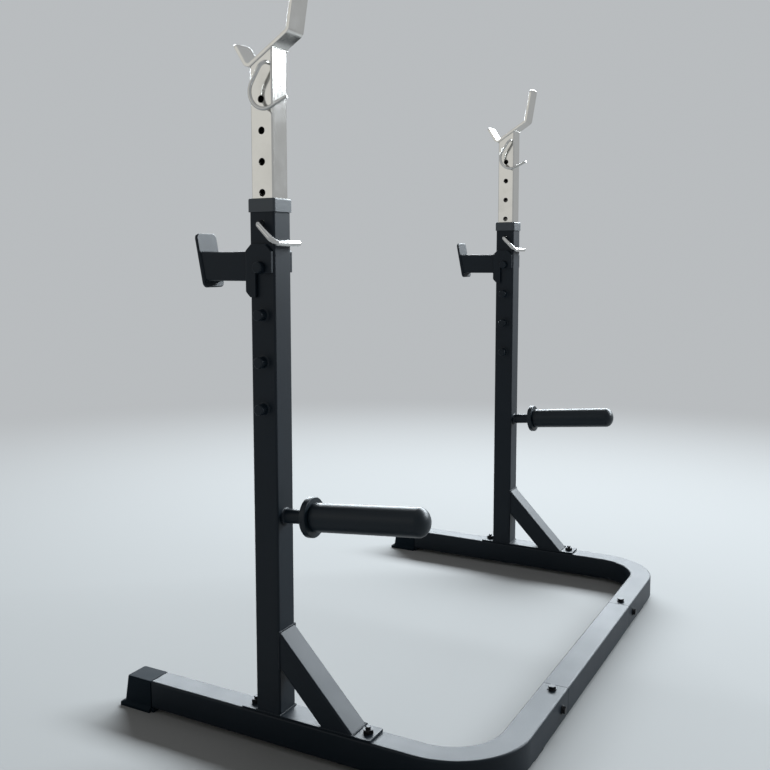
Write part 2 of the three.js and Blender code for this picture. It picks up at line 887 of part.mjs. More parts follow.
function armGeometry() {
  const half = spotter.armTube / 2;
  const back = channelFront - seatGap;
  const middle = spotter.armAboveStud - half;
  const body = tubeLength(
    spotter.armTube,
    spotter.armTube,
    spotter.armWall,
    spotter.armCorner,
    back - spotter.stopTopReach,
    back,
  )
    .rotateX(-Math.PI / 2)
    .translate(0, 0, middle);
  const reach = stopRise.length();
  const stopSide = boxBetween([-reach, -reach, -reach], [reach, spotter.stopThickness + seatGap, 2 * reach])
    .rotateX(stopLean)
    .translate(...stopFoot.toArray());
  return cut(body, stopSide);
}

// Assembly

function piece(name, geometry, material, place = [0, 0, 0]) {
  const mesh = new THREE.Mesh(geometry, material);
  mesh.name = name;
  mesh.position.set(...place);
  return mesh;
}

const squatStand = new THREE.Group();
squatStand.add(piece("cross_tube", crossTubeGeometry(), paint));

const shared = {
  endCap: endCapGeometry(),
  pad: padGeometry(),
  spliceBolt: spliceBoltGeometry(),
  footPlate: footPlateGeometry(),
  footBolt: footBoltGeometry(),
  nut: nutGeometry(),
  upright: uprightGeometry(),
  bush: bushGeometry(),
  brace: braceGeometry(),
  post: postGeometry(),
  catchBar: catchGeometry(),
  hook: hookGeometry(),
  lockPin: lockPinGeometry(),
  hornBar: hornBarGeometry(),
  hornFlange: hornFlangeGeometry(),
  hornSleeve: hornSleeveGeometry(),
  channel: channelGeometry(),
  arm: armGeometry(),
  stop: stopGeometry(),
};

for (const [label, side] of [
  ["left", -1],
  ["right", 1],
]) {
  const named = (stem) => stem + "_" + label;
  const x = side * base.halfSpacing;

  const joint = base.jointReach;
  const rearBolt = piece(
    named("splice_bolt_rear"),
    shared.spliceBolt,
    blackSteel,
    [side * (joint + splice.rearBoltOffset), base.crossReach + railHalfWidth, railMiddle],
  );
  rearBolt.rotation.x = -Math.PI / 2;
  squatStand.add(
    piece(named("rail"), railGeometry(side), paint),
    piece(named("splice_sleeve"), spliceGeometry(side), paint),
    piece(named("splice_bolt_top"), shared.spliceBolt, blackSteel, [
      side * (joint + splice.topBoltOffset),
      base.crossReach,
      railTop,
    ]),
    rearBolt,
    piece(named("end_cap"), shared.endCap, greyPlastic, [x, 0, 0]),
    piece(named("rear_pad"), shared.pad, rubber, [side * (joint + pad.fromJoint), base.crossReach, 0]),
  );

  const stand = new THREE.Group();
  stand.position.set(x, 0, railTop);
  stand.add(
    piece(named("foot_plate"), shared.footPlate, paint),
    piece(named("foot_bolt_front"), shared.footBolt, blackSteel, [0, -plate.frontBolt, 0]),
    piece(named("foot_bolt_back"), shared.footBolt, blackSteel, [0, plate.backBolt, 0]),
    piece(named("foot_nut_front"), shared.nut, blackSteel, [0, -plate.frontBolt, 0]),
    piece(named("foot_nut_back"), shared.nut, blackSteel, [0, plate.backBolt, 0]),
    piece(named("upright"), shared.upright, paint),
    piece(named("brace"), shared.brace, paint),
    piece(named("bush"), shared.bush, greyPlastic),
    piece(named("post"), shared.post, chrome),
    piece(named("bar_catch"), shared.catchBar, chrome),
    piece(named("wire_hook"), shared.hook, chrome),
    piece(named("lock_pin"), shared.lockPin, chrome),
  );

  const plateHorn = new THREE.Group();
  plateHorn.position.set(0, uprightHalf, horn.height);
  plateHorn.rotation.x = -Math.PI / 2 + THREE.MathUtils.degToRad(horn.tiltDegrees);
  plateHorn.add(
    piece(named("horn_bar"), shared.hornBar, paint),
    piece(named("horn_flange"), shared.hornFlange, paint),
    piece(named("horn_sleeve"), shared.hornSleeve, blackPlastic),
  );

  const spotterArm = new THREE.Group();
  spotterArm.position.set(0, 0, topStud);
  spotterArm.add(
    piece(named("spotter_channel"), shared.channel, paint),
    piece(named("spotter_arm"), shared.arm, paint),
    piece(named("spotter_stop"), shared.stop, paint),
  );
  stand.add(plateHorn, spotterArm);
  squatStand.add(stand);
}

// The origin is the middle of the stand's outline, on the floor
const outline = new THREE.Box3().setFromObject(squatStand, true);
const middle = outline.getCenter(new THREE.Vector3());
squatStand.position.set(-middle.x, -middle.y, -outline.min.z);

export default squatStand;
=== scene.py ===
"""Squat stand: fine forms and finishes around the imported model, in metres.

The two sides of the stand are alike. Each piece of a side is modelled once, for the right side, and copied
to the left side. Only the rails, the splice bolts and the rear pads are made for each side by itself.
"""

import logging
import math
from contextlib import contextmanager
from dataclasses import dataclass
from enum import Enum
from functools import cache
from typing import Callable, Iterator, Sequence

import bmesh
import bpy
from mathutils import Matrix, Vector


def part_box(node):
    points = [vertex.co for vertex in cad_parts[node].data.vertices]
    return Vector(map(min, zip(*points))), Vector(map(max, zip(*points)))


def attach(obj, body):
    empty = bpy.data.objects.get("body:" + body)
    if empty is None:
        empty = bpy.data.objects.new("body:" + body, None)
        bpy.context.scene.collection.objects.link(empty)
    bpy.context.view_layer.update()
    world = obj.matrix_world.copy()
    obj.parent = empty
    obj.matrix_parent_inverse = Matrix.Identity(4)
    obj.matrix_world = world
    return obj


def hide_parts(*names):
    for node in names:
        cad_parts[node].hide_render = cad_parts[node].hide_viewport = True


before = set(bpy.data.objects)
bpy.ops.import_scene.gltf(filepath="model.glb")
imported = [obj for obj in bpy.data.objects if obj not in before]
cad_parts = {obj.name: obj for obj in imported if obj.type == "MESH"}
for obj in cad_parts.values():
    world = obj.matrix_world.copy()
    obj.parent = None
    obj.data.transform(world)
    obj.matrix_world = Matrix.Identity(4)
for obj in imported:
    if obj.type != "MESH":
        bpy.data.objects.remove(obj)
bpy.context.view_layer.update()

log = logging.getLogger("squat_stand")

Piece = bpy.types.Object
Material = bpy.types.Material
Edge = bmesh.types.BMEdge
Colour = tuple[float, float, float]
Outline = Sequence[tuple[float, float]]
Route = Sequence[Vector]

ACROSS = Vector((1, 0, 0))
BACK = Vector((0, 1, 0))
UP = Vector((0, 0, 1))
QUARTER = math.pi / 2

# Distances that count as none and as near, angle of a sharp edge, room between touching pieces, sawn edges
MERGE = 1e-6
NEAR = 0.0002
SHARP = math.radians(38)
GAP = 0.0003
SAWN_EDGE = 0.0003


class Side(Enum):
    """The two sides of the stand."""

    LEFT = "left"
    RIGHT = "right"

    @property
    def sign(self) -> int:
        """Return -1 for the left side and 1 for the right side."""
        return -1 if self is Side.LEFT else 1


class Slot(Enum):
    """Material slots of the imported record."""

    PAINT = "frame_paint"
    CHROME = "chrome"
    CAP = "cap_plastic"
    SLEEVE = "sleeve_plastic"
    RUBBER = "pad_rubber"
    FASTENER = "fastener_black"


class Part(Enum):
    """Parts of a mesh that can be picked in edit mode."""

    VERTEX = "VERT"
    EDGE = "EDGE"
    FACE = "FACE"


# Shader sockets and recipes


class Socket:
    """Output of a shader node; its operators add Math nodes."""

    def __init__(self, recipe: "Recipe", output: bpy.types.NodeSocket) -> None:
        """Wrap an output of one of the recipe's nodes."""
        self.recipe = recipe
        self.output = output

    def _math(self, operation: str, first: "Term", second: "Term") -> "Socket":
        """Add a Math node for two values and return its output."""
        return self.recipe.node("ShaderNodeMath", {"operation": operation}, {0: first, 1: second})

    def __add__(self, other: "Term") -> "Socket":
        """Return this value plus another."""
        return self._math("ADD", self, other)

    __radd__ = __add__

    def __mul__(self, other: "Term") -> "Socket":
        """Return this value times another."""
        return self._math("MULTIPLY", self, other)

    __rmul__ = __mul__

    def __sub__(self, other: "Term") -> "Socket":
        """Return this value less another."""
        return self._math("SUBTRACT", self, other)

    def __rsub__(self, other: "Term") -> "Socket":
        """Return another value less this one."""
        return self._math("SUBTRACT", other, self)


Term = Socket | float


class Recipe:
    """Node tree of one material or world, built from the texture up to its shader."""

    def __init__(self, made: Material | bpy.types.World) -> None:
        """Empty the tree.

        Args:
            made: The material or world.
        """
        self.made = made
        made.use_nodes = True
        self.tree = made.node_tree
        self.tree.nodes.clear()

    def node(
        self, kind: str, settings: dict | None = None, inputs: dict | None = None, output: int | str = 0,
    ) -> Socket:
        """Add a node.

        Args:
            kind: The node's type.
            settings: Its settings by name; "stops" holds a ramp's places and grey levels.
            inputs: Values or links of its sockets, by name or number.
            output: Name or number of the output that is wanted.

        Returns:
            The wrapped output.
        """
        made = self.tree.nodes.new(kind)
        for name, value in (settings or {}).items():
            if name == "stops":
                for element, (place, level) in zip(made.color_ramp.elements, value):
                    element.position = place
                    element.color = (level, level, level, 1)
            else:
                setattr(made, name, value)
        for name, value in (inputs or {}).items():
            if isinstance(value, Socket):
                self.tree.links.new(value.output, made.inputs[name])
            else:
                made.inputs[name].default_value = value
        return Socket(self, made.outputs[output])

    def place(self, stretch: Sequence[float] = (1, 1, 1)) -> Socket:
        """Return the point on the object, stretched along each axis."""
        point = self.node("ShaderNodeTexCoord", output=3)
        return self.node("ShaderNodeMapping", {}, {"Vector": point, "Scale": stretch})

    def noise(self, scale: float, detail: float = 3, stretch: Sequence[float] = (1, 1, 1)) -> Socket:
        """Return noise from 0 to 1: scale is patches in a metre, and stretch below 1 draws them out."""
        inputs = {"Vector": self.place(stretch), "Scale": scale, "Detail": detail}
        return self.node("ShaderNodeTexNoise", {}, inputs)

    def patches(self, cloud: Socket, low: float, high: float) -> Socket:
        """Return a cloud cut to patches: 0 below the low level and 1 above the high one."""
        return self.node("ShaderNodeValToRGB", {"stops": ((low, 0), (high, 1))}, {"Fac": cloud})

    def tint(self, mask: Socket, plain: Colour, other: Colour) -> Socket:
        """Return one colour where the mask is 0 and the other where it is 1."""
        inputs = {0: mask, 6: (*plain, 1), 7: (*other, 1)}
        return self.node("ShaderNodeMix", {"data_type": "RGBA"}, inputs, output=2)

    def bump(self, height: Socket, depth: float) -> Socket:
        """Return a normal raised by a height from 0 to 1, its full depth in metres."""
        return self.node("ShaderNodeBump", {}, {"Height": height, "Strength": 1, "Distance": depth})

    def surface(self, **inputs: "Term | tuple") -> Material:
        """Close the recipe with its surface shader, whose sockets are named with _ for their spaces."""
        named = {name.replace("_", " "): value for name, value in inputs.items()}
        return self.close(self.node("ShaderNodeBsdfPrincipled", {}, named))

    def close(self, shader: Socket, kind: str = "ShaderNodeOutputMaterial") -> Material | bpy.types.World:
        """Link the last shader to a new output node and return what was made."""
        self.tree.links.new(shader.output, self.tree.nodes.new(kind).inputs["Surface"])
        return self.made


def shade(colour: Colour, factor: float) -> Colour:
    """Return a colour times a factor."""
    return tuple(channel * factor for channel in colour)


@dataclass(frozen=True)
class Finish:
    """Name, slot and plain values of a material; each kind of finish adds its own layers."""

    name: str
    slot: Slot
    colour: Colour
    roughness: float

    def build(self) -> Material:
        """Return the material."""
        return self.layers(Recipe(bpy.data.materials.new(self.name)))

    def layers(self, recipe: Recipe) -> Material:
        """Add the nodes of this kind of finish and return the material."""
        raise NotImplementedError


@dataclass(frozen=True)
class PowderCoat(Finish):
    """Satin powder coat: fine orange peel, with faint cloudiness in its depth."""

    gloss: float = 0.22
    peel_scale: float = 420
    peel_depth: float = 0.00003

    def layers(self, recipe: Recipe) -> Material:
        """Add the nodes.

        Args:
            recipe: The empty recipe.

        Returns:
            The material.
        """
        cloud = recipe.noise(9, 4)
        grain = recipe.noise(2600, 2)
        peel = recipe.noise(self.peel_scale, 2)
        wipe = recipe.noise(22, 3, (1, 1, 0.25))
        return recipe.surface(
            Base_Color=recipe.tint(cloud, shade(self.colour, 0.8), shade(self.colour, 1.22)),
            Roughness=self.roughness + 0.07 * (wipe - 0.5) + 0.05 * (grain - 0.5),
            Specular_IOR_Level=self.gloss,
            Normal=recipe.bump(peel + 0.3 * grain, self.peel_depth),
        )


@dataclass(frozen=True)
class Chrome(Finish):
    """Chromed steel: hairlines along the tube and faint smudges."""

    hairline_depth: float = 0.000004

    def layers(self, recipe: Recipe) -> Material:
        """Add the nodes.

        Args:
            recipe: The empty recipe.

        Returns:
            The material.
        """
        hairlines = recipe.noise(1500, 3, (1, 1, 0.02))
        smudges = recipe.patches(recipe.noise(26, 5), 0.42, 0.75)
        waves = recipe.noise(14, 1)
        return recipe.surface(
            Base_Color=recipe.tint(smudges, self.colour, shade(self.colour, 0.93)),
            Metallic=1.0,
            Roughness=self.roughness + 0.07 * smudges + 0.08 * (hairlines - 0.5),
            Normal=recipe.bump(hairlines + 8 * waves, self.hairline_depth),
        )


@dataclass(frozen=True)
class MouldedPlastic(Finish):
    """Moulded plastic: fine spark-eroded grain and slight flow marks."""

    gloss: float
    grain_scale: float = 900
    grain_depth: float = 0.00005

    def layers(self, recipe: Recipe) -> Material:
        """Add the nodes.

        Args:
            recipe: The empty recipe.

        Returns:
            The material.
        """
        grain = recipe.noise(self.grain_scale, 3)
        flow = recipe.noise(18, 3)
        return recipe.surface(
            Base_Color=recipe.tint(flow, shade(self.colour, 0.86), shade(self.colour, 1.16)),
            Roughness=self.roughness + 0.08 * (flow - 0.5) + 0.06 * (grain - 0.5),
            Specular_IOR_Level=self.gloss,
            Normal=recipe.bump(grain, self.grain_depth),
        )


@dataclass(frozen=True)
class BlackOxide(Finish):
    """Black oxide steel of bolts and nuts, with bright rubbed spots."""

    rubbed: Colour = (0.045, 0.045, 0.045)
    grain_depth: float = 0.00002

    def layers(self, recipe: Recipe) -> Material:
        """Add the nodes.

        Args:
            recipe: The empty recipe.

        Returns:
            The material.
        """
        rub = recipe.patches(recipe.noise(420, 4), 0.52, 0.78)
        grain = recipe.noise(2400, 2)
        return recipe.surface(
            Base_Color=recipe.tint(rub, self.colour, self.rubbed),
            Metallic=0.75,
            Roughness=self.roughness + 0.12 * (grain - 0.5) - 0.08 * rub,
            Normal=recipe.bump(grain, self.grain_depth),
        )


PAINT = PowderCoat("slate_powder_coat", Slot.PAINT, (0.0045, 0.0094, 0.0152), 0.46)
CHROME = Chrome("polished_chrome", Slot.CHROME, (0.63, 0.617, 0.59), 0.09)
WIRE_CHROME = Chrome("satin_chrome_wire", Slot.CHROME, (0.53, 0.525, 0.51), 0.13)
BUSH_PLASTIC = MouldedPlastic("bush_plastic", Slot.CAP, (0.015, 0.024, 0.033), 0.5, 0.7)
CAP_PLASTIC = MouldedPlastic("cap_plastic", Slot.CAP, (0.0035, 0.009, 0.0145), 0.70, 0.11)
SLEEVE_PLASTIC = MouldedPlastic(
    "sleeve_plastic", Slot.SLEEVE, (0.0036, 0.0093, 0.0148), 0.40, 0.27, 700, 0.00002,
)
PAD_RUBBER = MouldedPlastic("pad_rubber", Slot.RUBBER, (0.018, 0.018, 0.019), 0.8, 0.3, 500, 0.00012)
OXIDE = BlackOxide("black_oxide_steel", Slot.FASTENER, (0.012, 0.013, 0.015), 0.46)


# Bench: modelling with Blender's operators


def clear() -> None:
    """Leave edit mode and deselect everything."""
    if bpy.context.mode != "OBJECT":
        bpy.ops.object.mode_set(mode="OBJECT")
    bpy.ops.object.select_all(action="DESELECT")


def take(*pieces: Piece) -> None:
    """Select pieces alone and make the first one active.

    Args:
        pieces: The pieces.
    """
    clear()
    for piece in pieces:
        piece.select_set(True)
    bpy.context.view_layer.objects.active = pieces[0]


def added(primitive: Callable, **settings: object) -> Piece:
    """Add a primitive.

    Args:
        primitive: The operator that adds it.
        settings: The operator's settings.

    Returns:
        The piece.
    """
    clear()
    primitive(**settings)
    return bpy.context.object


def at(point: Sequence[float], angle: float = 0.0, axis: str = "X") -> Matrix:
    """Return the place at a point, turned about one axis."""
    return Matrix.Translation(point) @ Matrix.Rotation(angle, 4, axis)


def settle(piece: Piece, place: Matrix | None = None) -> Piece:
    """Put a piece at its place and apply the place to its mesh.

    Args:
        piece: The piece.
        place: Matrix that its mesh goes through, besides the object's own place.

    Returns:
        The piece.
    """
    take(piece)
    if place is not None:
        bpy.context.view_layer.update()
        piece.matrix_world = place @ piece.matrix_world
    bpy.ops.object.transform_apply(location=True, rotation=True, scale=True)
    return piece


@contextmanager
def editing(piece: Piece, part: Part = Part.VERTEX) -> Iterator[None]:
    """Open a piece in edit mode with all of it selected.

    Args:
        piece: The piece.
        part: What the selection works on.
    """
    take(piece)
    bpy.ops.object.mode_set(mode="EDIT")
    bpy.ops.mesh.select_mode(type=part.value)
    bpy.ops.mesh.select_all(action="SELECT")
    yield
    bpy.ops.object.mode_set(mode="OBJECT")


def pick(part: Part, test: Callable) -> None:
    """Select parts of the piece in edit mode.

    Args:
        part: The kind of part.
        test: What a part passes to be selected.
    """
    mesh = bpy.context.object.data
    shape = bmesh.from_edit_mesh(mesh)
    bpy.ops.mesh.select_all(action="DESELECT")
    bpy.ops.mesh.select_mode(type=part.value)
    for element in {Part.EDGE: shape.edges, Part.FACE: shape.faces}[part]:
        if test(element):
            element.select_set(True)
    shape.select_flush_mode()
    bmesh.update_edit_mesh(mesh)


def extrude(way: Sequence[float]) -> None:
    """Extrude what is selected in edit mode."""
    bpy.ops.mesh.extrude_region_move(TRANSFORM_OT_translate={"value": way})


def close_up() -> None:
    """Merge what coincides in the piece in edit mode, and turn its faces outwards."""
    bpy.ops.mesh.select_all(action="SELECT")
    bpy.ops.mesh.remove_doubles(threshold=MERGE)
    bpy.ops.mesh.normals_make_consistent(inside=False)


def standing(edge: Edge) -> bool:
    """Tell whether an edge stands upright."""
    return abs((edge.verts[1].co - edge.verts[0].co).normalized().z) > 0.99


def facing(way: int) -> Callable[[bmesh.types.BMFace], bool]:
    """Return the test for faces that look up, for 1, or down, for -1."""
    return lambda face: face.normal.z * way > 0.9


def middle(edge: Edge) -> Vector:
    """Return the middle of an edge."""
    return (edge.verts[0].co + edge.verts[1].co) / 2


def modify(piece: Piece, kind: str, **settings: object) -> Piece:
    """Add a modifier, set it and apply it.

    Args:
        piece: The piece.
        kind: The modifier's type.
        settings: Its settings by name.

    Returns:
        The piece.
    """
    take(piece)
    modifier = piece.modifiers.new(kind.lower(), kind)
    for name, value in settings.items():
        setattr(modifier, name, value)
    bpy.ops.object.modifier_apply(modifier=modifier.name)
    return piece


def smooth(piece: Piece) -> Piece:
    """Smooth a piece's shading up to its sharp edges, with flat faces kept flat.

    Args:
        piece: The piece.

    Returns:
        The piece.
    """
    take(piece)
    bpy.ops.object.shade_smooth_by_angle(angle=SHARP)
    return modify(piece, "WEIGHTED_NORMAL", keep_sharp=True, weight=60)


def ease(piece: Piece, radius: float, steps: int = 2) -> Piece:
    """Break every sharp edge of a piece and smooth its shading.

    Args:
        piece: The piece.
        radius: Radius of the edges.
        steps: Faces round an edge.

    Returns:
        The piece.
    """
    modify(
        piece, "BEVEL", width=radius, segments=steps, limit_method="ANGLE", angle_limit=SHARP,
        use_clamp_overlap=True, miter_outer="MITER_ARC",
    )
    return smooth(piece)


def round_edges(piece: Piece, radius: float, test: Callable[[Edge], bool], steps: int = 4) -> Piece:
    """Round some of a piece's edges.

    Args:
        piece: The piece.
        radius: Radius of the edges.
        test: What an edge passes to be rounded.
        steps: Faces round an edge.

    Returns:
        The piece.
    """
    with editing(piece, Part.EDGE):
        pick(Part.EDGE, test)
        bpy.ops.mesh.bevel(offset=radius, segments=steps, affect="EDGES")
    return piece


def cut(piece: Piece, tool: Piece, keep: bool = False) -> Piece:
    """Cut a piece with a tool, which is used up.

    Args:
        piece: The piece.
        tool: The shape that is cut out.
        keep: Keep what the tool and the piece share, and not the rest.

    Returns:
        The piece.
    """
    modify(piece, "BOOLEAN", object=tool, operation="INTERSECT" if keep else "DIFFERENCE", solver="EXACT")
    bpy.data.objects.remove(tool)
    return piece


def join(*pieces: Piece) -> Piece:
    """Join pieces into one.

    Args:
        pieces: The pieces.

    Returns:
        The first piece, which holds them all.
    """
    take(*pieces)
    bpy.ops.object.join()
    return pieces[0]


def block(low: Sequence[float], high: Sequence[float]) -> Piece:
    """Make a box between two corners.

    Args:
        low: Its lowest corner.
        high: Its highest corner.

    Returns:
        The piece.
    """
    low, high = Vector(low), Vector(high)
    piece = added(bpy.ops.mesh.primitive_cube_add, size=1, location=(low + high) / 2)
    piece.scale = high - low
    return settle(piece)


def drawn(points: Outline) -> Piece:
    """Draw a line of points in the XZ plane, as a chain of edges.

    Args:
        points: Places across and up.

    Returns:
        The piece, a bare chain.
    """
    piece = added(bpy.ops.mesh.primitive_plane_add, size=MERGE)
    with editing(piece):
        bpy.ops.mesh.merge(type="CENTER")
        bpy.ops.mesh.select_all(action="SELECT")
        across, up = points[0]
        bpy.ops.transform.translate(value=(across, 0, up))
        for (x, z), (next_x, next_z) in zip(points, points[1:]):
            bpy.ops.mesh.extrude_vertices_move(TRANSFORM_OT_translate={"value": (next_x - x, 0, next_z - z)})
    return piece


def turned(profile: Outline, steps: int = 48) -> Piece:
    """Turn a profile about the Z axis.

    Args:
        profile: Radius and height, from one end to the other.
        steps: Faces round the axis.

    Returns:
        The piece.
    """
    piece = drawn(profile)
    with editing(piece):
        bpy.ops.mesh.spin(steps=steps, angle=2 * math.pi, center=(0, 0, 0), axis=UP)
        close_up()
    return piece


def peg(radius: float, reach: float, steps: int) -> Piece:
    """Make a round peg on the Z axis that reaches as far down as up, to cut a hole with."""
    return turned([(0, -reach), (radius, -reach), (radius, reach), (0, reach)], steps)


def arc(
    centre: tuple[float, float], radius: float, start: float, end: float, steps: int,
    rise: float | None = None,
) -> list[tuple[float, float]]:
    """Return points round part of a circle or an ellipse.

    Args:
        centre: Its centre, across and up.
        radius: Its radius, or its radius across.
        start: First angle in degrees, from across towards up.
        end: Last angle in degrees.
        steps: Number of steps.
        rise: Its radius upwards, where that differs.

    Returns:
        The points, both ends included.
    """
    upwards = radius if rise is None else rise
    angles = [math.radians(start + (end - start) * step / steps) for step in range(steps + 1)]
    return [(centre[0] + radius * math.cos(a), centre[1] + upwards * math.sin(a)) for a in angles]


def basis(points: Route, across: Vector) -> Matrix:
    """Find the place at a route's start, with its Z axis along the route.

    Args:
        points: The corners of the route.
        across: Direction that the X axis lies nearest to.

    Returns:
        The place.
    """
    ahead = (points[1] - points[0]).normalized()
    side = (across - ahead * across.dot(ahead)).normalized()
    turn = Matrix((side, ahead.cross(side), ahead)).transposed()
    return Matrix.Translation(points[0]) @ turn.to_4x4()


def section(width: float, depth: float, points: Route, across: Vector = ACROSS) -> Piece:
    """Stand a flat rectangle across the start of a route.

    Args:
        width: Its width.
        depth: Its other width.
        points: The corners of the route.
        across: Direction of its width.

    Returns:
        The piece.
    """
    piece = added(bpy.ops.mesh.primitive_plane_add, size=1)
    piece.scale = (width, depth, 1)
    return settle(settle(piece), basis(points, across))


def follow(
    piece: Piece, points: Route, bends: Sequence[float], steps: int = 12, part: Part = Part.FACE,
) -> None:
    """Draw a section along straight runs, with an arc at each corner.

    Args:
        piece: The section, which stands across the route's start.
        points: The corners of the route, both ends included.
        bends: The radius at each corner between the ends.
        steps: Steps in each arc.
        part: Whether its face or its open edges are drawn.
    """
    start = points[0]
    with editing(piece, part):
        for index, corner in enumerate(points[1:]):
            into = (corner - start).normalized()
            bent = index < len(bends)
            tangent = 0.0
            if bent:
                out = (points[index + 2] - corner).normalized()
                turn = into.angle(out)
                tangent = bends[index] * math.tan(turn / 2)
            extrude(into * ((corner - start).length - tangent))
            if bent:
                axis = into.cross(out).normalized()
                centre = corner - into * tangent + axis.cross(into) * bends[index]
                bpy.ops.mesh.spin(steps=steps, angle=-turn, center=centre, axis=axis)
                start = corner + out * tangent
        close_up()


def bent_rod(points: Route, bends: Sequence[float], radius: float, rim: float) -> Piece:
    """Bend a round rod.

    Args:
        points: The corners of its centre line, both ends included.
        bends: The radius at each corner.
        radius: The rod's radius.
        rim: Radius on the rims of its ends.

    Returns:
        The piece.
    """
    piece = added(bpy.ops.mesh.primitive_circle_add, vertices=24, radius=radius, fill_type="NGON")
    follow(settle(piece, basis(points, BACK)), points, bends)
    round_edges(piece, rim, lambda edge: any(len(face.verts) > 4 for face in edge.link_faces), 3)
    return smooth(piece)


def beads(corners: Route, radius: float = 0.0019, pitch: float = 0.0017) -> Piece:
    """Lay a weld: a row of overlapping beads along each line between corners.

    Args:
        corners: The corners of the weld's route.
        radius: Radius of one bead.
        pitch: Distance between beads.

    Returns:
        The piece.
    """
    ball = bpy.ops.mesh.primitive_uv_sphere_add
    rows = []
    for start, end in zip(corners, corners[1:]):
        row = settle(added(ball, segments=10, ring_count=6, radius=radius, location=start))
        step = (end - start).normalized() * pitch
        count = max(2, round((end - start).length / pitch) + 1)
        modify(
            row, "ARRAY", count=count, use_relative_offset=False, use_constant_offset=True,
            constant_offset_displace=step,
        )
        rows.append(row)
    weld = join(*rows)
    take(weld)
    bpy.ops.object.shade_smooth()
    return weld


def hexagon(flats: float, height: float, chamfer: float, edge: float = 0.00025) -> Piece:
    """Make a hexagonal head or nut on z = 0, its upper corners turned off.

    Args:
        flats: Its width across flats.
        height: Its height.
        chamfer: How far its corners are turned off.
        edge: Radius of its edges.

    Returns:
        The piece.
    """
    corner = flats / math.sqrt(3)
    prism = bpy.ops.mesh.primitive_cylinder_add
    head = settle(added(prism, vertices=6, radius=corner, depth=height, location=(0, 0, height / 2)))
    spare = corner + 2 * chamfer
    slope = [(spare, height - 2 * chamfer), (corner - chamfer, height)]
    blank = turned([(0, -chamfer), (spare, -chamfer), *slope, (0, height)])
    return ease(cut(head, blank, keep=True), edge)


@dataclass(frozen=True)
class Tubing:
    """Rectangular tube: its two widths, its wall and the radius of its long edges."""

    width: float
    depth: float
    wall: float
    corner: float

    def laid(self, points: Route, across: Vector = ACROSS, bends: Sequence[float] = ()) -> Piece:
        """Lay a length of the tube along a route.

        Args:
            points: The corners of its centre line, both ends included.
            across: Direction of its width at the first point.
            bends: The radius at each corner of the route.

        Returns:
            The piece, open at both ends.
        """
        piece = section(self.width, self.depth, points, across)
        with editing(piece):
            bpy.ops.mesh.bevel(offset=self.corner, segments=5, affect="VERTICES")
        with editing(piece, Part.FACE):
            bpy.ops.mesh.delete(type="ONLY_FACE")
        follow(piece, points, bends, 28, Part.EDGE)
        return modify(piece, "SOLIDIFY", thickness=self.wall, offset=-1, use_even_offset=True)


def trim(tube: Piece, point: Vector, beyond: Vector) -> None:
    """Cut off a tube's end and close its wall there.

    Args:
        tube: The tube.
        point: A point of the cut's plane.
        beyond: Direction of the end that goes.
    """
    with editing(tube, Part.EDGE):
        bpy.ops.mesh.bisect(plane_co=point, plane_no=beyond, clear_outer=True)
        bpy.ops.mesh.bridge_edge_loops()


# Dressing


def node_middle(node: str) -> Vector:
    """Return the middle of a node's box."""
    low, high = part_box(node)
    return (low + high) / 2


# Places and sizes that the sub-assemblies share; heights are measured from the rail's top
TWIN_SHIFT = node_middle("upright_left") - node_middle("upright_right")
RAIL_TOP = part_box("rail_right")[1].z
PLATE_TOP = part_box("foot_plate_right")[1].z
STAND = Vector((node_middle("upright_right").x, node_middle("upright_right").y, RAIL_TOP))
RAIL_TUBE = Tubing(0.05, 0.0525, 0.0025, 0.004)
UPRIGHT_TUBE = Tubing(0.05, 0.05, 0.002, 0.004)
POST_TUBE = Tubing(0.0446, 0.0446, 0.002, 0.0035)
UPRIGHT_HALF = UPRIGHT_TUBE.width / 2
PIN_HEIGHT = 0.858
TOP_STUD = 0.785
SQUARE = ((-1, -1), (1, -1), (1, 1), (-1, 1), (-1, -1))


def on_stand(across: float, back: float, height: float) -> Vector:
    """Return a place by its distances from the right upright's middle on top of the rail."""
    return STAND + Vector((across, back, height))


@cache
def material_of(finish: Finish) -> Material:
    """Return a finish's material, which is built once."""
    return finish.build()


def coat(piece: Piece, finish: Finish) -> None:
    """Give a piece a finish.

    Args:
        piece: The piece.
        finish: The finish.
    """
    piece.data.materials.clear()
    piece.data.materials.append(material_of(finish))


def dress(name: str, piece: Piece, finish: Finish, body: str, *nodes: str) -> None:
    """Give a piece its name, its finish and its body.

    Args:
        name: Its name.
        piece: The piece.
        finish: Its finish.
        body: The body that it rides on.
        nodes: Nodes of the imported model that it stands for.
    """
    piece.name = name
    piece.data.name = name
    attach(piece, body)
    coat(piece, finish)
    if nodes:
        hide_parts(*nodes)
    log.info("%s: %d faces", name, len(piece.data.polygons))


def pair(stem: str, piece: Piece, finish: Finish, body: str, *nodes: str) -> None:
    """Dress the right side's piece and a copy of it for the left side.

    Args:
        stem: Name of the two pieces, without their sides.
        piece: The right side's piece.
        finish: Its finish.
        body: Stem of the body that it rides on, or "base".
        nodes: Stems of the nodes that it stands for.
    """
    take(piece)
    bpy.ops.object.duplicate()
    twin = settle(bpy.context.object, Matrix.Translation(TWIN_SHIFT))
    for side, copy in ((Side.RIGHT, piece), (Side.LEFT, twin)):
        rides = body if body == "base" else f"{body}_{side.value}"
        dress(f"{stem}_{side.value}", copy, finish, rides, *(f"{node}_{side.value}" for node in nodes))


# Sub-assemblies


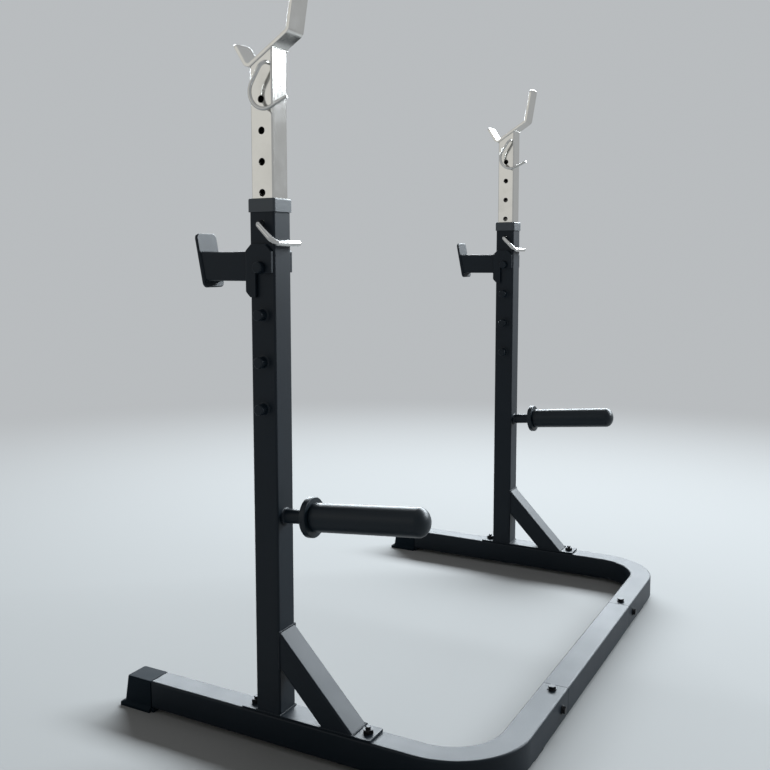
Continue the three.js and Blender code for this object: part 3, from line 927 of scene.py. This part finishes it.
@dataclass
class FootFrame:
    """U-shaped base: rails, cross tube, splices, end caps and pads."""

    bend: float = 0.125
    joint: float = 0.0004
    lip_side: float = 0.006
    lip_height: float = 0.006
    lip_length: float = 0.0767
    lip_corner: float = 0.005
    waist: float = 0.010
    waist_length: float = 0.0687
    top_length: float = 0.0597
    crown_round: float = 0.0022
    boot_edge: float = 0.0006
    groove: float = 0.0022
    heel: float = 0.004
    sole: float = 0.0085
    neck_edge: float = 0.0008
    washer: float = 0.0085
    washer_height: float = 0.0016
    washer_rim: float = 0.0005
    head_flats: float = 0.013
    head_height: float = 0.0053
    head_chamfer: float = 0.0009
    pad_corner: float = 0.008
    pad_border: float = 0.006
    pad_hollow: float = 0.002
    pad_edge: float = 0.001
    level: float = RAIL_TOP - RAIL_TUBE.depth / 2

    def build(self) -> None:
        """Make every piece of the base."""
        self.cross_tube()
        for side in Side:
            self.rail(side)
            self.splice_bolts(side)
            coat(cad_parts[f"splice_sleeve_{side.value}"], PAINT)
        self.end_cap()
        for side in Side:
            self.rear_pad(side)

    def cross_tube(self) -> None:
        """Make the straight middle tube, its ends drawn back to show the joints."""
        low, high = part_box("cross_tube")
        back = (low.y + high.y) / 2
        ends = [Vector((x, back, self.level)) for x in (low.x + self.joint, high.x - self.joint)]
        tube = ease(RAIL_TUBE.laid(ends, BACK), SAWN_EDGE)
        dress("cross_tube_body", tube, PAINT, "base", "cross_tube")

    def rail(self, side: Side) -> None:
        """Make one side's rail, bent once towards the other side.

        Args:
            side: The side.
        """
        low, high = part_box(f"rail_{side.value}")
        x = side.sign * STAND.x
        joint = min(low.x, high.x, key=abs)
        back = high.y - RAIL_TUBE.width / 2
        points = [Vector((*place, self.level)) for place in ((x, low.y), (x, back), (joint, back))]
        tube = ease(RAIL_TUBE.laid(points, bends=[self.bend]), SAWN_EDGE)
        dress(f"rail_tube_{side.value}", tube, PAINT, "base", f"rail_{side.value}")

    def splice_bolts(self, side: Side) -> None:
        """Make the washer and hexagonal head of one side's splice bolts.

        Args:
            side: The side.
        """
        top = GAP + self.washer_height
        rim = arc((self.washer - self.washer_rim, top - self.washer_rim), self.washer_rim, 0, 90, 3)
        for face, angle in (("top", 0.0), ("rear", -QUARTER)):
            node = f"splice_bolt_{face}_{side.value}"
            seat = node_middle(node)
            if face == "top":
                seat.z = RAIL_TOP
            else:
                seat.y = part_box("cross_tube")[1].y
            washer = smooth(turned([(0, GAP), (self.washer, GAP), *rim, (0, top)]))
            head = hexagon(self.head_flats, self.head_height, self.head_chamfer)
            bolt = settle(join(washer, settle(head, at((0, 0, top)))), at(seat, angle))
            dress(f"splice_bolt_head_{face}_{side.value}", bolt, OXIDE, "base", node)

    def end_cap(self) -> None:
        """Make the moulded boot: a lipped sole, a waist, straight sides and an eased crown."""
        half = RAIL_TUBE.width / 2
        outer = half + self.lip_side
        inner = half - self.groove
        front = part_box("end_cap_right")[0].y
        seam = front + self.lip_length
        back = seam - self.groove
        boot = block((STAND.x - outer, front, 0), (STAND.x + outer, back, self.lip_height))
        levels = (
            (self.waist - self.lip_height, (half / outer, self.waist_length / self.lip_length, 1)),
            (RAIL_TOP - self.waist, (1, self.top_length / self.waist_length, 1)),
        )
        with editing(boot, Part.FACE):
            pick(Part.FACE, facing(1))
            for rise, scale in levels:
                extrude((0, 0, rise))
                bpy.ops.transform.resize(value=scale, center_override=(STAND.x, back, self.lip_height))
        half_way = seam - self.lip_length / 2
        round_edges(
            boot, self.lip_corner,
            lambda edge: middle(edge).y < half_way and abs(edge.verts[0].co.z - edge.verts[1].co.z) > NEAR,
            5,
        )
        round_edges(
            boot, self.crown_round,
            lambda edge: middle(edge).z > RAIL_TOP - MERGE and middle(edge).y < back - MERGE,
        )
        heel_end = (STAND.x + half, seam + GAP + self.heel, self.sole - GAP)
        heel = block((STAND.x - half, seam - self.heel, 0), heel_end)
        neck_end = (STAND.x + inner, seam, RAIL_TOP - self.groove)
        neck = block((STAND.x - inner, back - self.groove, self.sole), neck_end)
        cap = join(ease(boot, self.boot_edge), ease(heel, self.neck_edge), ease(neck, self.neck_edge))
        pair("end_cap_boot", cap, CAP_PLASTIC, "base", "end_cap")

    def rear_pad(self, side: Side) -> None:
        """Make the rubber pad under one back corner.

        Args:
            side: The side.
        """
        node = f"rear_pad_{side.value}"
        pad = round_edges(block(*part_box(node)), self.pad_corner, standing, 6)
        with editing(pad, Part.FACE):
            pick(Part.FACE, facing(-1))
            bpy.ops.mesh.inset(thickness=self.pad_border)
            extrude((0, 0, self.pad_hollow))
        dress(f"rear_pad_foot_{side.value}", ease(pad, self.pad_edge), PAD_RUBBER, "base", node)


@dataclass
class UprightPost:
    """Fixed upright: foot plate, bolts, square tube with studs, brace and bush."""

    plate_corner: float = 0.003
    plate_edge: float = 0.0005
    stud_radius: float = 0.0095
    stud_length: float = 0.018
    stud_root: float = 0.001
    stud_rim: float = 0.0022
    stud_fillet: float = 0.0028
    stud_pitch: float = 0.08
    stud_count: int = 4
    pin_hole: float = 0.00575
    brace_tube: Tubing = Tubing(0.05, 0.045, 0.0025, 0.004)
    brace_top: float = 0.155
    brace_foot: float = 0.17
    nut_flats: float = 0.017
    nut_height: float = 0.0065
    nut_chamfer: float = 0.0012
    bolt_radius: float = 0.005
    bolt_tip: float = 0.0045
    bolt_chamfer: float = 0.0011
    bolt_neck: float = 0.0004
    thread_pitch: float = 0.0015
    thread_depth: float = 0.0008
    thread_crest: float = 0.3
    thread_root: float = 0.65
    thread_end: float = 0.001
    head_radius: float = 0.0105
    head_height: float = 0.0055
    bush_corner: float = 0.0045
    bush_rim: float = 0.0024
    bush_pocket: float = 0.0188
    bush_play: float = 0.0004
    bush_edge: float = 0.0012

    def build(self) -> None:
        """Make every fixed piece of the upright."""
        plate = round_edges(block(*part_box("foot_plate_right")), self.plate_corner, standing)
        pair("foot_plate_steel", ease(plate, self.plate_edge), PAINT, "base", "foot_plate")
        for end in ("front", "back"):
            self.foot_bolt(end)
        self.upright()
        self.brace()
        self.bush()

    def foot_bolt(self, end: str) -> None:
        """Make a bolt that comes up through rail and plate, and its nut.

        Args:
            end: End of the plate, as in the node's name.
        """
        seat = node_middle(f"foot_bolt_{end}_right")
        nut = hexagon(self.nut_flats, self.nut_height, self.nut_chamfer)
        smooth(cut(nut, peg(self.bolt_radius + GAP, 2 * self.nut_height, 48)))
        settle(nut, at((seat.x, seat.y, PLATE_TOP + GAP)))
        pair(f"foot_nut_hexagon_{end}", nut, OXIDE, "base", f"foot_nut_{end}")
        bolt = settle(smooth(turned(self.bolt_profile(), 32)), at((seat.x, seat.y, 0)))
        pair(f"foot_bolt_threaded_{end}", bolt, OXIDE, "base", f"foot_bolt_{end}")

    def bolt_profile(self) -> Outline:
        """Draw half of a bolt with a round head below and a threaded tip.

        Returns:
            Radius and height, from the head to the tip.
        """
        radius, pitch = self.bolt_radius, self.thread_pitch
        underside = RAIL_TOP - RAIL_TUBE.depth - GAP
        tip = PLATE_TOP + GAP + self.nut_height + self.bolt_tip
        profile = arc((0, underside), self.head_radius, -90, 0, 8, self.head_height)
        profile.append((radius - self.bolt_neck, underside))
        height = PLATE_TOP
        while height + pitch < tip - self.thread_end:
            groove = (radius - self.thread_depth, height + pitch * self.thread_root)
            profile += [(radius, height), (radius, height + pitch * self.thread_crest), groove]
            height += pitch
        return [*profile, (radius, tip - self.bolt_chamfer), (radius - self.bolt_chamfer, tip), (0, tip)]

    def upright(self) -> None:
        """Make the square tube, its pin hole, the studs on its two sides and the weld at its foot."""
        low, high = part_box("upright_right")
        tube = UPRIGHT_TUBE.laid([Vector((STAND.x, STAND.y, z)) for z in (low.z, high.z)])
        hole = peg(self.pin_hole, UPRIGHT_TUBE.width, 32)
        cut(tube, settle(hole, at(on_stand(0, 0, PIN_HEIGHT), QUARTER, "Y")))
        pair("upright_tube", ease(tube, SAWN_EDGE), PAINT, "base", "upright")
        heights = [TOP_STUD - index * self.stud_pitch for index in range(self.stud_count)]
        studs = [self.stud(height, sign) for height in heights for sign in (-1, 1)]
        pair("stud_row", join(*studs), PAINT, "base")
        foot = GAP + PLATE_TOP - RAIL_TOP
        ring = [on_stand(x * UPRIGHT_HALF, y * UPRIGHT_HALF, foot) for x, y in SQUARE]
        pair("upright_foot_weld", beads(ring), PAINT, "base")

    def stud(self, height: float, sign: int) -> Piece:
        """Make one stud with its weld fillet and rounded rim.

        Args:
            height: Height of its middle.
            sign: Side of the tube that it stands on, -1 or 1.

        Returns:
            The piece.
        """
        radius, rim, fillet = self.stud_radius, self.stud_rim, self.stud_fillet
        piece = turned([
            (0, -self.stud_root),
            (radius, -self.stud_root),
            *arc((radius + fillet, fillet), fillet, 270, 180, 4),
            *arc((radius - rim, self.stud_length - rim), rim, 0, 90, 5),
            (0, self.stud_length),
        ], 40)
        return smooth(settle(piece, at(on_stand(sign * UPRIGHT_HALF, 0, height), sign * QUARTER, "Y")))

    def brace(self) -> None:
        """Make the sloping tube between the upright's back and the plate, and the welds at its ends."""
        plate = PLATE_TOP - RAIL_TOP
        run = self.brace_foot - UPRIGHT_HALF
        rise = self.brace_top - plate
        slope = math.atan2(rise, run)
        half, depth = self.brace_tube.width / 2, self.brace_tube.depth
        spare = 2 * depth
        ahead = Vector((0, -math.cos(slope), math.sin(slope)))
        below = Vector((0, -math.sin(slope), -math.cos(slope)))
        foot = on_stand(0, self.brace_foot, plate) + below * depth / 2
        ends = [foot - ahead * spare, foot + ahead * (math.hypot(run, rise) + spare)]
        tube = self.brace_tube.laid(ends)
        trim(tube, on_stand(0, UPRIGHT_HALF + GAP, 0), -BACK)
        trim(tube, on_stand(0, 0, plate + GAP), -UP)
        pair("brace_tube", ease(tube, SAWN_EDGE), PAINT, "base", "brace")
        drop = depth / math.cos(slope)
        reach = depth / math.sin(slope)
        corners = ((-half, 1), (-half, 0), (half, 0), (half, 1))
        upper = [on_stand(x, UPRIGHT_HALF, self.brace_top - share * drop) for x, share in corners]
        lower = [on_stand(x, self.brace_foot - share * reach, plate) for x, share in corners]
        pair("brace_weld", join(beads(upper), beads(lower)), PAINT, "base")

    def bush(self) -> None:
        """Make the plastic guide: a cap over the tube with a square opening for the post."""
        low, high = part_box("bush_right")
        piece = round_edges(block(low, high), self.bush_corner, standing, 5)
        round_edges(piece, self.bush_rim, lambda edge: middle(edge).z > high.z - MERGE)
        opening = (high.x - low.x - POST_TUBE.width) / 2 - self.bush_play
        pocket = (high.x - low.x - UPRIGHT_TUBE.width) / 2 - GAP
        with editing(piece, Part.FACE):
            pick(Part.FACE, facing(-1))
            bpy.ops.mesh.inset(thickness=pocket)
            extrude((0, 0, self.bush_pocket))
            bpy.ops.mesh.inset(thickness=opening - pocket)
            bpy.ops.mesh.delete(type="FACE")
            pick(Part.FACE, facing(1))
            bpy.ops.mesh.inset(thickness=opening - self.bush_rim)
            bpy.ops.mesh.delete(type="FACE")
            pick(Part.EDGE, lambda edge: edge.is_boundary)
            bpy.ops.mesh.bridge_edge_loops()
            close_up()
        pair("bush_guide", ease(piece, self.bush_edge, 3), BUSH_PLASTIC, "base", "bush")


@dataclass
class SlidingPost:
    """Telescoping post with its bar catch and wire hook, and the pin that locks it."""

    back_top: float = 1.144
    slope: float = math.radians(32)
    post_edge: float = 0.00035
    hole_radius: float = 0.00625
    hole_pitch: float = 0.051
    holes: range = range(-9, 5)
    bar_width: float = 0.045
    bar_thickness: float = 0.0065
    bar_bends: tuple[float, float] = (0.009, 0.009)
    bar_edge: float = 0.0008
    catch_ahead: float = 0.061
    catch_behind: float = 0.0415
    catch_lip: float = 0.05
    catch_back: float = 0.083
    catch_lean: float = math.radians(9.5)
    lip_corner: float = 0.005
    back_corner: float = 0.009
    weld_bead: tuple[float, float] = (0.0016, 0.0014)
    hook_radius: float = 0.00325
    hook_root: float = 0.001
    hook_stand_off: float = 0.0188
    hook_back: float = 0.0156
    hook_below_back: float = 0.0252
    hook_drop: tuple[float, float] = (0.0737, 0.1129)
    hook_tail: tuple[float, float] = (0.1215, 0.0525)
    hook_bends: tuple[float, float] = (0.0125, 0.0294)
    hook_rim: float = 0.001
    pin_radius: float = 0.005
    pin_end: float = 0.01
    pin_beside: float = 0.013
    pin_behind: float = 0.008
    pin_drop: float = 0.033
    pin_bends: tuple[float, float] = (0.008, 0.014)
    pin_rim: float = 0.0014

    def build(self) -> None:
        """Make the post's pieces and its pin."""
        self.post()
        self.bar_catch()
        self.wire_hook()
        self.lock_pin()

    def post(self) -> None:
        """Make the chromed tube with its row of holes and sloping end."""
        low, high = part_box("post_right")
        reach = POST_TUBE.width
        tube = POST_TUBE.laid([Vector((STAND.x, STAND.y, z)) for z in (low.z, high.z + reach)])
        trim(tube, self.on_slope(0, 0), Vector((0, -math.sin(self.slope), math.cos(self.slope))))
        drills = []
        for index in self.holes:
            place = at(on_stand(0, 0, PIN_HEIGHT + index * self.hole_pitch), QUARTER, "Y")
            drills.append(settle(peg(self.hole_radius, reach, 36), place))
        cut(tube, join(*drills))
        pair("post_tube", ease(tube, self.post_edge), CHROME, "post", "post")

    def on_slope(self, along: float, lift: float) -> Vector:
        """Find a place above the post's sloping end.

        Args:
            along: Distance up the slope from the back top edge.
            lift: Distance away from the slope.

        Returns:
            The place.
        """
        sine, cosine = math.sin(self.slope), math.cos(self.slope)
        back = POST_TUBE.width / 2 + along * cosine - lift * sine
        return on_stand(0, back, self.back_top + along * sine + lift * cosine)

    def bar_catch(self) -> None:
        """Bend the catch from one flat bar and lay its weld."""
        half = self.bar_thickness / 2
        lift = GAP + half
        foot = self.on_slope(self.catch_behind - half, lift)
        back, lean = self.catch_back, self.catch_lean
        points = [
            self.on_slope(half - self.catch_ahead, GAP + self.catch_lip),
            self.on_slope(half - self.catch_ahead, lift),
            foot,
            foot + Vector((0, back * math.sin(lean), back * math.cos(lean))),
        ]
        piece = section(self.bar_width, self.bar_thickness, points)
        follow(piece, points, self.bar_bends)
        for tip, radius in ((points[0], self.lip_corner), (points[-1], self.back_corner)):
            round_edges(
                piece, radius,
                lambda edge, tip=tip: edge.calc_length() < self.bar_thickness + NEAR
                and abs((middle(edge) - tip).length - self.bar_width / 2) < NEAR,
                6,
            )
        pair("bar_catch_flat", ease(piece, self.bar_edge, 3), CHROME, "post", "bar_catch")
        half_tube = POST_TUBE.width / 2
        length = POST_TUBE.width / math.cos(self.slope)
        ring = ((half_tube, 0), (half_tube, -length), (-half_tube, -length), (-half_tube, 0), (half_tube, 0))
        corners = [self.on_slope(along, 0) + ACROSS * x for x, along in ring]
        pair("catch_weld", beads(corners, *self.weld_bead), CHROME, "post")

    def wire_hook(self) -> None:
        """Bend the wire hook on the post's +X face."""
        root = POST_TUBE.width / 2
        plane = root + self.hook_stand_off
        top = self.back_top - self.hook_below_back
        loop = Vector((plane, self.hook_back - self.hook_drop[0], top - self.hook_drop[1]))
        points = [
            on_stand(root - self.hook_root, self.hook_back, top),
            on_stand(plane, self.hook_back, top),
            on_stand(*loop),
            on_stand(loop.x, loop.y + self.hook_tail[0], loop.z + self.hook_tail[1]),
        ]
        rod = bent_rod(points, self.hook_bends, self.hook_radius, self.hook_rim)
        pair("wire_hook_rod", rod, WIRE_CHROME, "post", "wire_hook")

    def lock_pin(self) -> None:
        """Bend the lock pin: through upright and post, down, and back behind the upright."""
        plane = UPRIGHT_HALF + self.pin_beside
        behind = UPRIGHT_HALF + self.pin_behind
        tail = PIN_HEIGHT - self.pin_drop
        points = [
            on_stand(-UPRIGHT_HALF - self.pin_end, 0, PIN_HEIGHT),
            on_stand(plane, 0, PIN_HEIGHT),
            on_stand(plane, behind, tail),
            on_stand(-plane, behind, tail),
        ]
        rod = bent_rod(points, self.pin_bends, self.pin_radius, self.pin_rim)
        pair("lock_pin_rod", rod, WIRE_CHROME, "pin", "lock_pin")


@dataclass
class PlateHorn:
    """Tilted horn behind the upright: bar, stop flange and round-nosed sleeve."""

    height: float = 0.356
    tilt: float = math.radians(5.2)
    bar_radius: float = 0.0125
    bar_root: float = 0.0008
    fillet: float = 0.0038
    fillet_at: float = 0.0012
    flange_at: float = 0.0485
    flange_radius: float = 0.035
    flange_thickness: float = 0.0115
    flange_rim: float = 0.0022
    sleeve_radius: float = 0.02475
    sleeve_length: float = 0.215
    sleeve_rim: float = 0.0015
    nose: float = 0.019

    def build(self) -> None:
        """Make the horn's three pieces."""
        end = self.flange_at + self.flange_thickness
        start = end + GAP
        root = self.bar_radius + self.fillet
        bar = [
            (0, self.bar_root),
            (root, self.bar_root),
            *arc((root, self.fillet + self.fillet_at), self.fillet, 270, 180, 5),
            (self.bar_radius, start),
            (0, start),
        ]
        rim = self.flange_rim
        outer = self.flange_radius - rim
        flange = [
            (0, self.flange_at),
            (outer, self.flange_at),
            *arc((outer, self.flange_at + rim), rim, -90, 0, 5),
            *arc((outer, end - rim), rim, 0, 90, 5),
            (0, end),
        ]
        inner = self.sleeve_radius - self.sleeve_rim
        nose_at = start + self.sleeve_length - self.nose
        sleeve = [
            (0, start),
            (inner, start),
            *arc((inner, start + self.sleeve_rim), self.sleeve_rim, -90, 0, 4),
            *arc((0, nose_at), self.sleeve_radius, 0, 90, 16, self.nose),
        ]
        place = at(on_stand(0, UPRIGHT_HALF, self.height), self.tilt - QUARTER)
        for name, profile, steps, finish, node in (
            ("horn_bar_root", bar, 48, PAINT, "horn_bar"),
            ("horn_flange_disc", flange, 72, SLEEVE_PLASTIC, "horn_flange"),
            ("horn_sleeve_grip", sleeve, 64, SLEEVE_PLASTIC, "horn_sleeve"),
        ):
            pair(name, smooth(settle(turned(profile, steps), place)), finish, "base", node)


@dataclass
class SpotterArm:
    """Hang-on spotter arm: notched channel, square tube and sloping stop plate, placed from its studs."""

    sheet: float = 0.006
    clearance: float = 0.0008
    fold: float = 0.0045
    sheet_edge: float = 0.0007
    notch: float = 0.0099
    top: float = 0.039
    hem: float = 0.0088
    finger: float = 0.05
    finger_chamfer: float = 0.011
    corner_chamfer: float = 0.013
    side_back: float = 0.0228
    room: float = 0.02
    arm: Tubing = Tubing(0.05, 0.05, 0.0025, 0.004)
    arm_top: float = 0.027
    stop_width: float = 0.055
    stop_thickness: float = 0.006
    stop_corner: float = 0.009
    stop_edge: float = 0.0018
    stop_foot: tuple[float, float, float] = (0, -0.1246, -0.0353)
    stop_top: tuple[float, float, float] = (0, -0.1427, 0.0585)
    weld_bead: float = 0.0016

    def __post_init__(self) -> None:
        """Work out the arm's place, its front and the slope of its stop plate."""
        self.place = at(on_stand(0, 0, TOP_STUD))
        self.inside = UPRIGHT_HALF + self.clearance
        self.front = -(self.inside + self.sheet)
        self.foot, self.crest = Vector(self.stop_foot), Vector(self.stop_top)
        self.rise = self.crest - self.foot
        self.lean = math.atan2(-self.rise.y, self.rise.z)

    def build(self) -> None:
        """Make the arm's three pieces and their welds."""
        self.hanging_channel()
        self.stop_plate()
        self.arm_tube()

    def hanging_channel(self) -> None:
        """Make the channel that wraps the upright and hangs on one pair of studs."""
        outline = [
            (self.front, -self.finger + self.finger_chamfer),
            (self.front, self.top - self.corner_chamfer),
            (self.front + self.corner_chamfer, self.top),
            (self.side_back - self.corner_chamfer, self.top),
            (self.side_back, self.top - self.corner_chamfer),
            (self.side_back, -self.hem),
            (self.notch, -self.hem),
            *arc((0, 0), self.notch, 0, 180, 20),
            (-self.notch, -self.finger),
            (self.front + self.finger_chamfer, -self.finger),
        ]
        piece = drawn(outline)
        with editing(piece):
            bpy.ops.mesh.edge_face_add()
            extrude((0, -2 * self.front, 0))
            close_up()
        settle(piece, at((-self.front, 0, 0), QUARTER, "Z"))
        inside, tall = self.inside, 2 * self.finger
        cut(piece, block((-inside, -inside, -tall), (inside, inside + self.room, tall)))
        round_edges(piece, self.fold, lambda edge: standing(edge) and abs(middle(edge).y - self.front) < NEAR)
        settle(ease(piece, self.sheet_edge), self.place)
        pair("spotter_channel_plate", piece, PAINT, "arm", "spotter_channel")

    def stop_plate(self) -> None:
        """Make the sloping plate at the arm's end."""
        half = self.stop_width / 2
        piece = block((-half, 0, -self.stop_thickness), (half, self.rise.length, 0))
        round_edges(piece, self.stop_corner, standing, 7)
        settle(ease(piece, self.stop_edge, 3), self.place @ at(self.foot, QUARTER + self.lean))
        pair("spotter_stop_plate", piece, PAINT, "arm", "spotter_stop")

    def reach(self, height: float) -> float:
        """Return how far forward the tube reaches at a height."""
        share = (height - self.foot.z) / (self.crest.z - self.foot.z)
        return self.foot.lerp(self.crest, share).y + self.stop_thickness / math.cos(self.lean)

    def arm_tube(self) -> None:
        """Make the short square tube and the welds at its two ends."""
        half = self.arm.width / 2
        level = self.arm_top - half
        back = self.front - GAP
        tube = self.arm.laid([Vector((0, y, level)) for y in (self.crest.y, back)])
        beyond = Vector((0, -math.cos(self.lean), -math.sin(self.lean)))
        trim(tube, self.foot - beyond * (self.stop_thickness + GAP), beyond)
        pair("spotter_arm_tube", settle(ease(tube, SAWN_EDGE), self.place), PAINT, "arm", "spotter_arm")
        inner = [Vector((x * half, back, level + z * half)) for x, z in SQUARE]
        outer = [Vector((x * half, self.reach(level + z * half), level + z * half)) for x, z in SQUARE]
        weld = join(beads(inner, self.weld_bead), beads(outer, self.weld_bead))
        pair("spotter_weld", settle(weld, self.place), PAINT, "arm")


# Studio


@dataclass(frozen=True)
class Lamp:
    """Soft area lamp that the camera doesn't see."""

    name: str
    place: tuple[float, float, float]
    aim: tuple[float, float, float]
    size: tuple[float, float]
    watts: float
    colour: Colour = (1.0, 1.0, 1.0)

    def build(self) -> None:
        """Add the lamp."""
        data = bpy.data.lights.new(self.name, "AREA")
        data.shape = "RECTANGLE"
        data.size, data.size_y = self.size
        data.energy = self.watts
        data.color = self.colour
        lamp = bpy.data.objects.new(self.name, data)
        bpy.context.scene.collection.objects.link(lamp)
        lamp.location = self.place
        lamp.rotation_euler = (Vector(self.aim) - Vector(self.place)).to_track_quat("-Z", "Y").to_euler()
        lamp.visible_camera = False


@dataclass(frozen=True)
class Studio:
    """Pale floor and backdrop without a seam, soft lamps and the camera."""

    floor_colour: Colour = (0.41, 0.41, 0.405)
    backdrop: Colour = (0.485, 0.505, 0.52)
    fill: float = 0.26
    fade_start: float = 0.9
    fade_end: float = 3.8
    camera_place: tuple[float, float, float] = (1.8951, 0.8651, 0.8546)
    yaw: float = -2.624385
    pitch: float = 0.10004
    roll: float = -0.003977
    lens: float = 43.724
    shift_x: float = 0.042476
    shift_y: float = -0.037815
    lamps: tuple[Lamp, ...] = (
        Lamp("wall_panel", (-8.0, -0.5, 4.62), (0.0, -0.5, 4.62), (19.0, 2.66), 4300, (0.86, 0.94, 1.0)),
        Lamp("side_panel", (3.8, -2.5, 2.15), (0.6, -0.1, 2.15), (5.0, 2.1), 12.5, (1.0, 0.965, 0.86)),
        Lamp("overhead_lamp", (0.2, 0.3, 3.2), (0.1, 0, 0.3), (2.6, 2.6), 4),
    )

    def build(self) -> None:
        """Set up the whole studio."""
        self.floor()
        self.world()
        for lamp in self.lamps:
            lamp.build()
        self.camera()
        bpy.context.scene.view_settings.view_transform = "Standard"

    def floor(self) -> None:
        """Lay the floor, which fades into the backdrop with distance."""
        floor = added(bpy.ops.mesh.primitive_circle_add, vertices=96, radius=30, fill_type="NGON")
        floor.name = "floor"
        recipe = Recipe(bpy.data.materials.new("pale_floor"))
        cloud = recipe.noise(1.2, 4)
        tone = recipe.tint(cloud, shade(self.floor_colour, 0.99), shade(self.floor_colour, 1.01))
        near = recipe.node(
            "ShaderNodeBsdfPrincipled", {}, {"Base Color": tone, "Roughness": 0.8, "Specular IOR Level": 0.1},
        )
        far = recipe.node("ShaderNodeEmission", {}, {"Color": (*self.backdrop, 1), "Strength": 1})
        reach = recipe.node("ShaderNodeVectorMath", {"operation": "LENGTH"}, {0: recipe.place()}, 1)
        fade = recipe.node(
            "ShaderNodeMapRange", {"interpolation_type": "SMOOTHSTEP"},
            {"Value": reach, "From Min": self.fade_start, "From Max": self.fade_end},
        )
        material = recipe.close(recipe.node("ShaderNodeMixShader", {}, {0: fade, 1: near, 2: far}))
        floor.data.materials.append(material)

    def world(self) -> None:
        """Surround the floor with the backdrop, which lights the object less than it shows."""
        world = bpy.data.worlds.new("surround")
        bpy.context.scene.world = world
        recipe = Recipe(world)
        seen = recipe.node("ShaderNodeLightPath", output="Is Camera Ray")
        for ray in ("Is Glossy Ray", "Is Transmission Ray"):
            seen = seen + recipe.node("ShaderNodeLightPath", output=ray)
        strength = self.fill + (1 - self.fill) * seen
        inputs = {"Color": (*self.backdrop, 1), "Strength": strength}
        recipe.close(recipe.node("ShaderNodeBackground", {}, inputs), "ShaderNodeOutputWorld")

    def camera(self) -> None:
        """Place the camera at the photograph's viewpoint."""
        data = bpy.data.cameras.new("camera")
        data.lens = self.lens
        data.shift_x = self.shift_x
        data.shift_y = self.shift_y
        camera = bpy.data.objects.new("camera", data)
        bpy.context.scene.collection.objects.link(camera)
        stand = at(self.camera_place, self.yaw - QUARTER, "Z")
        tilt = Matrix.Rotation(QUARTER - self.pitch, 4, "X")
        camera.matrix_world = stand @ tilt @ Matrix.Rotation(self.roll, 4, "Z")
        bpy.context.scene.camera = camera


def main() -> None:
    """Build the studio and every sub-assembly."""
    logging.basicConfig(level=logging.INFO, format="%(name)s: %(message)s")
    for assembly in (FootFrame, UprightPost, SlidingPost, PlateHorn, SpotterArm):
        log.info("building %s", assembly.__name__)
        assembly().build()
    Studio().build()


if __name__ == "__main__":
    main()
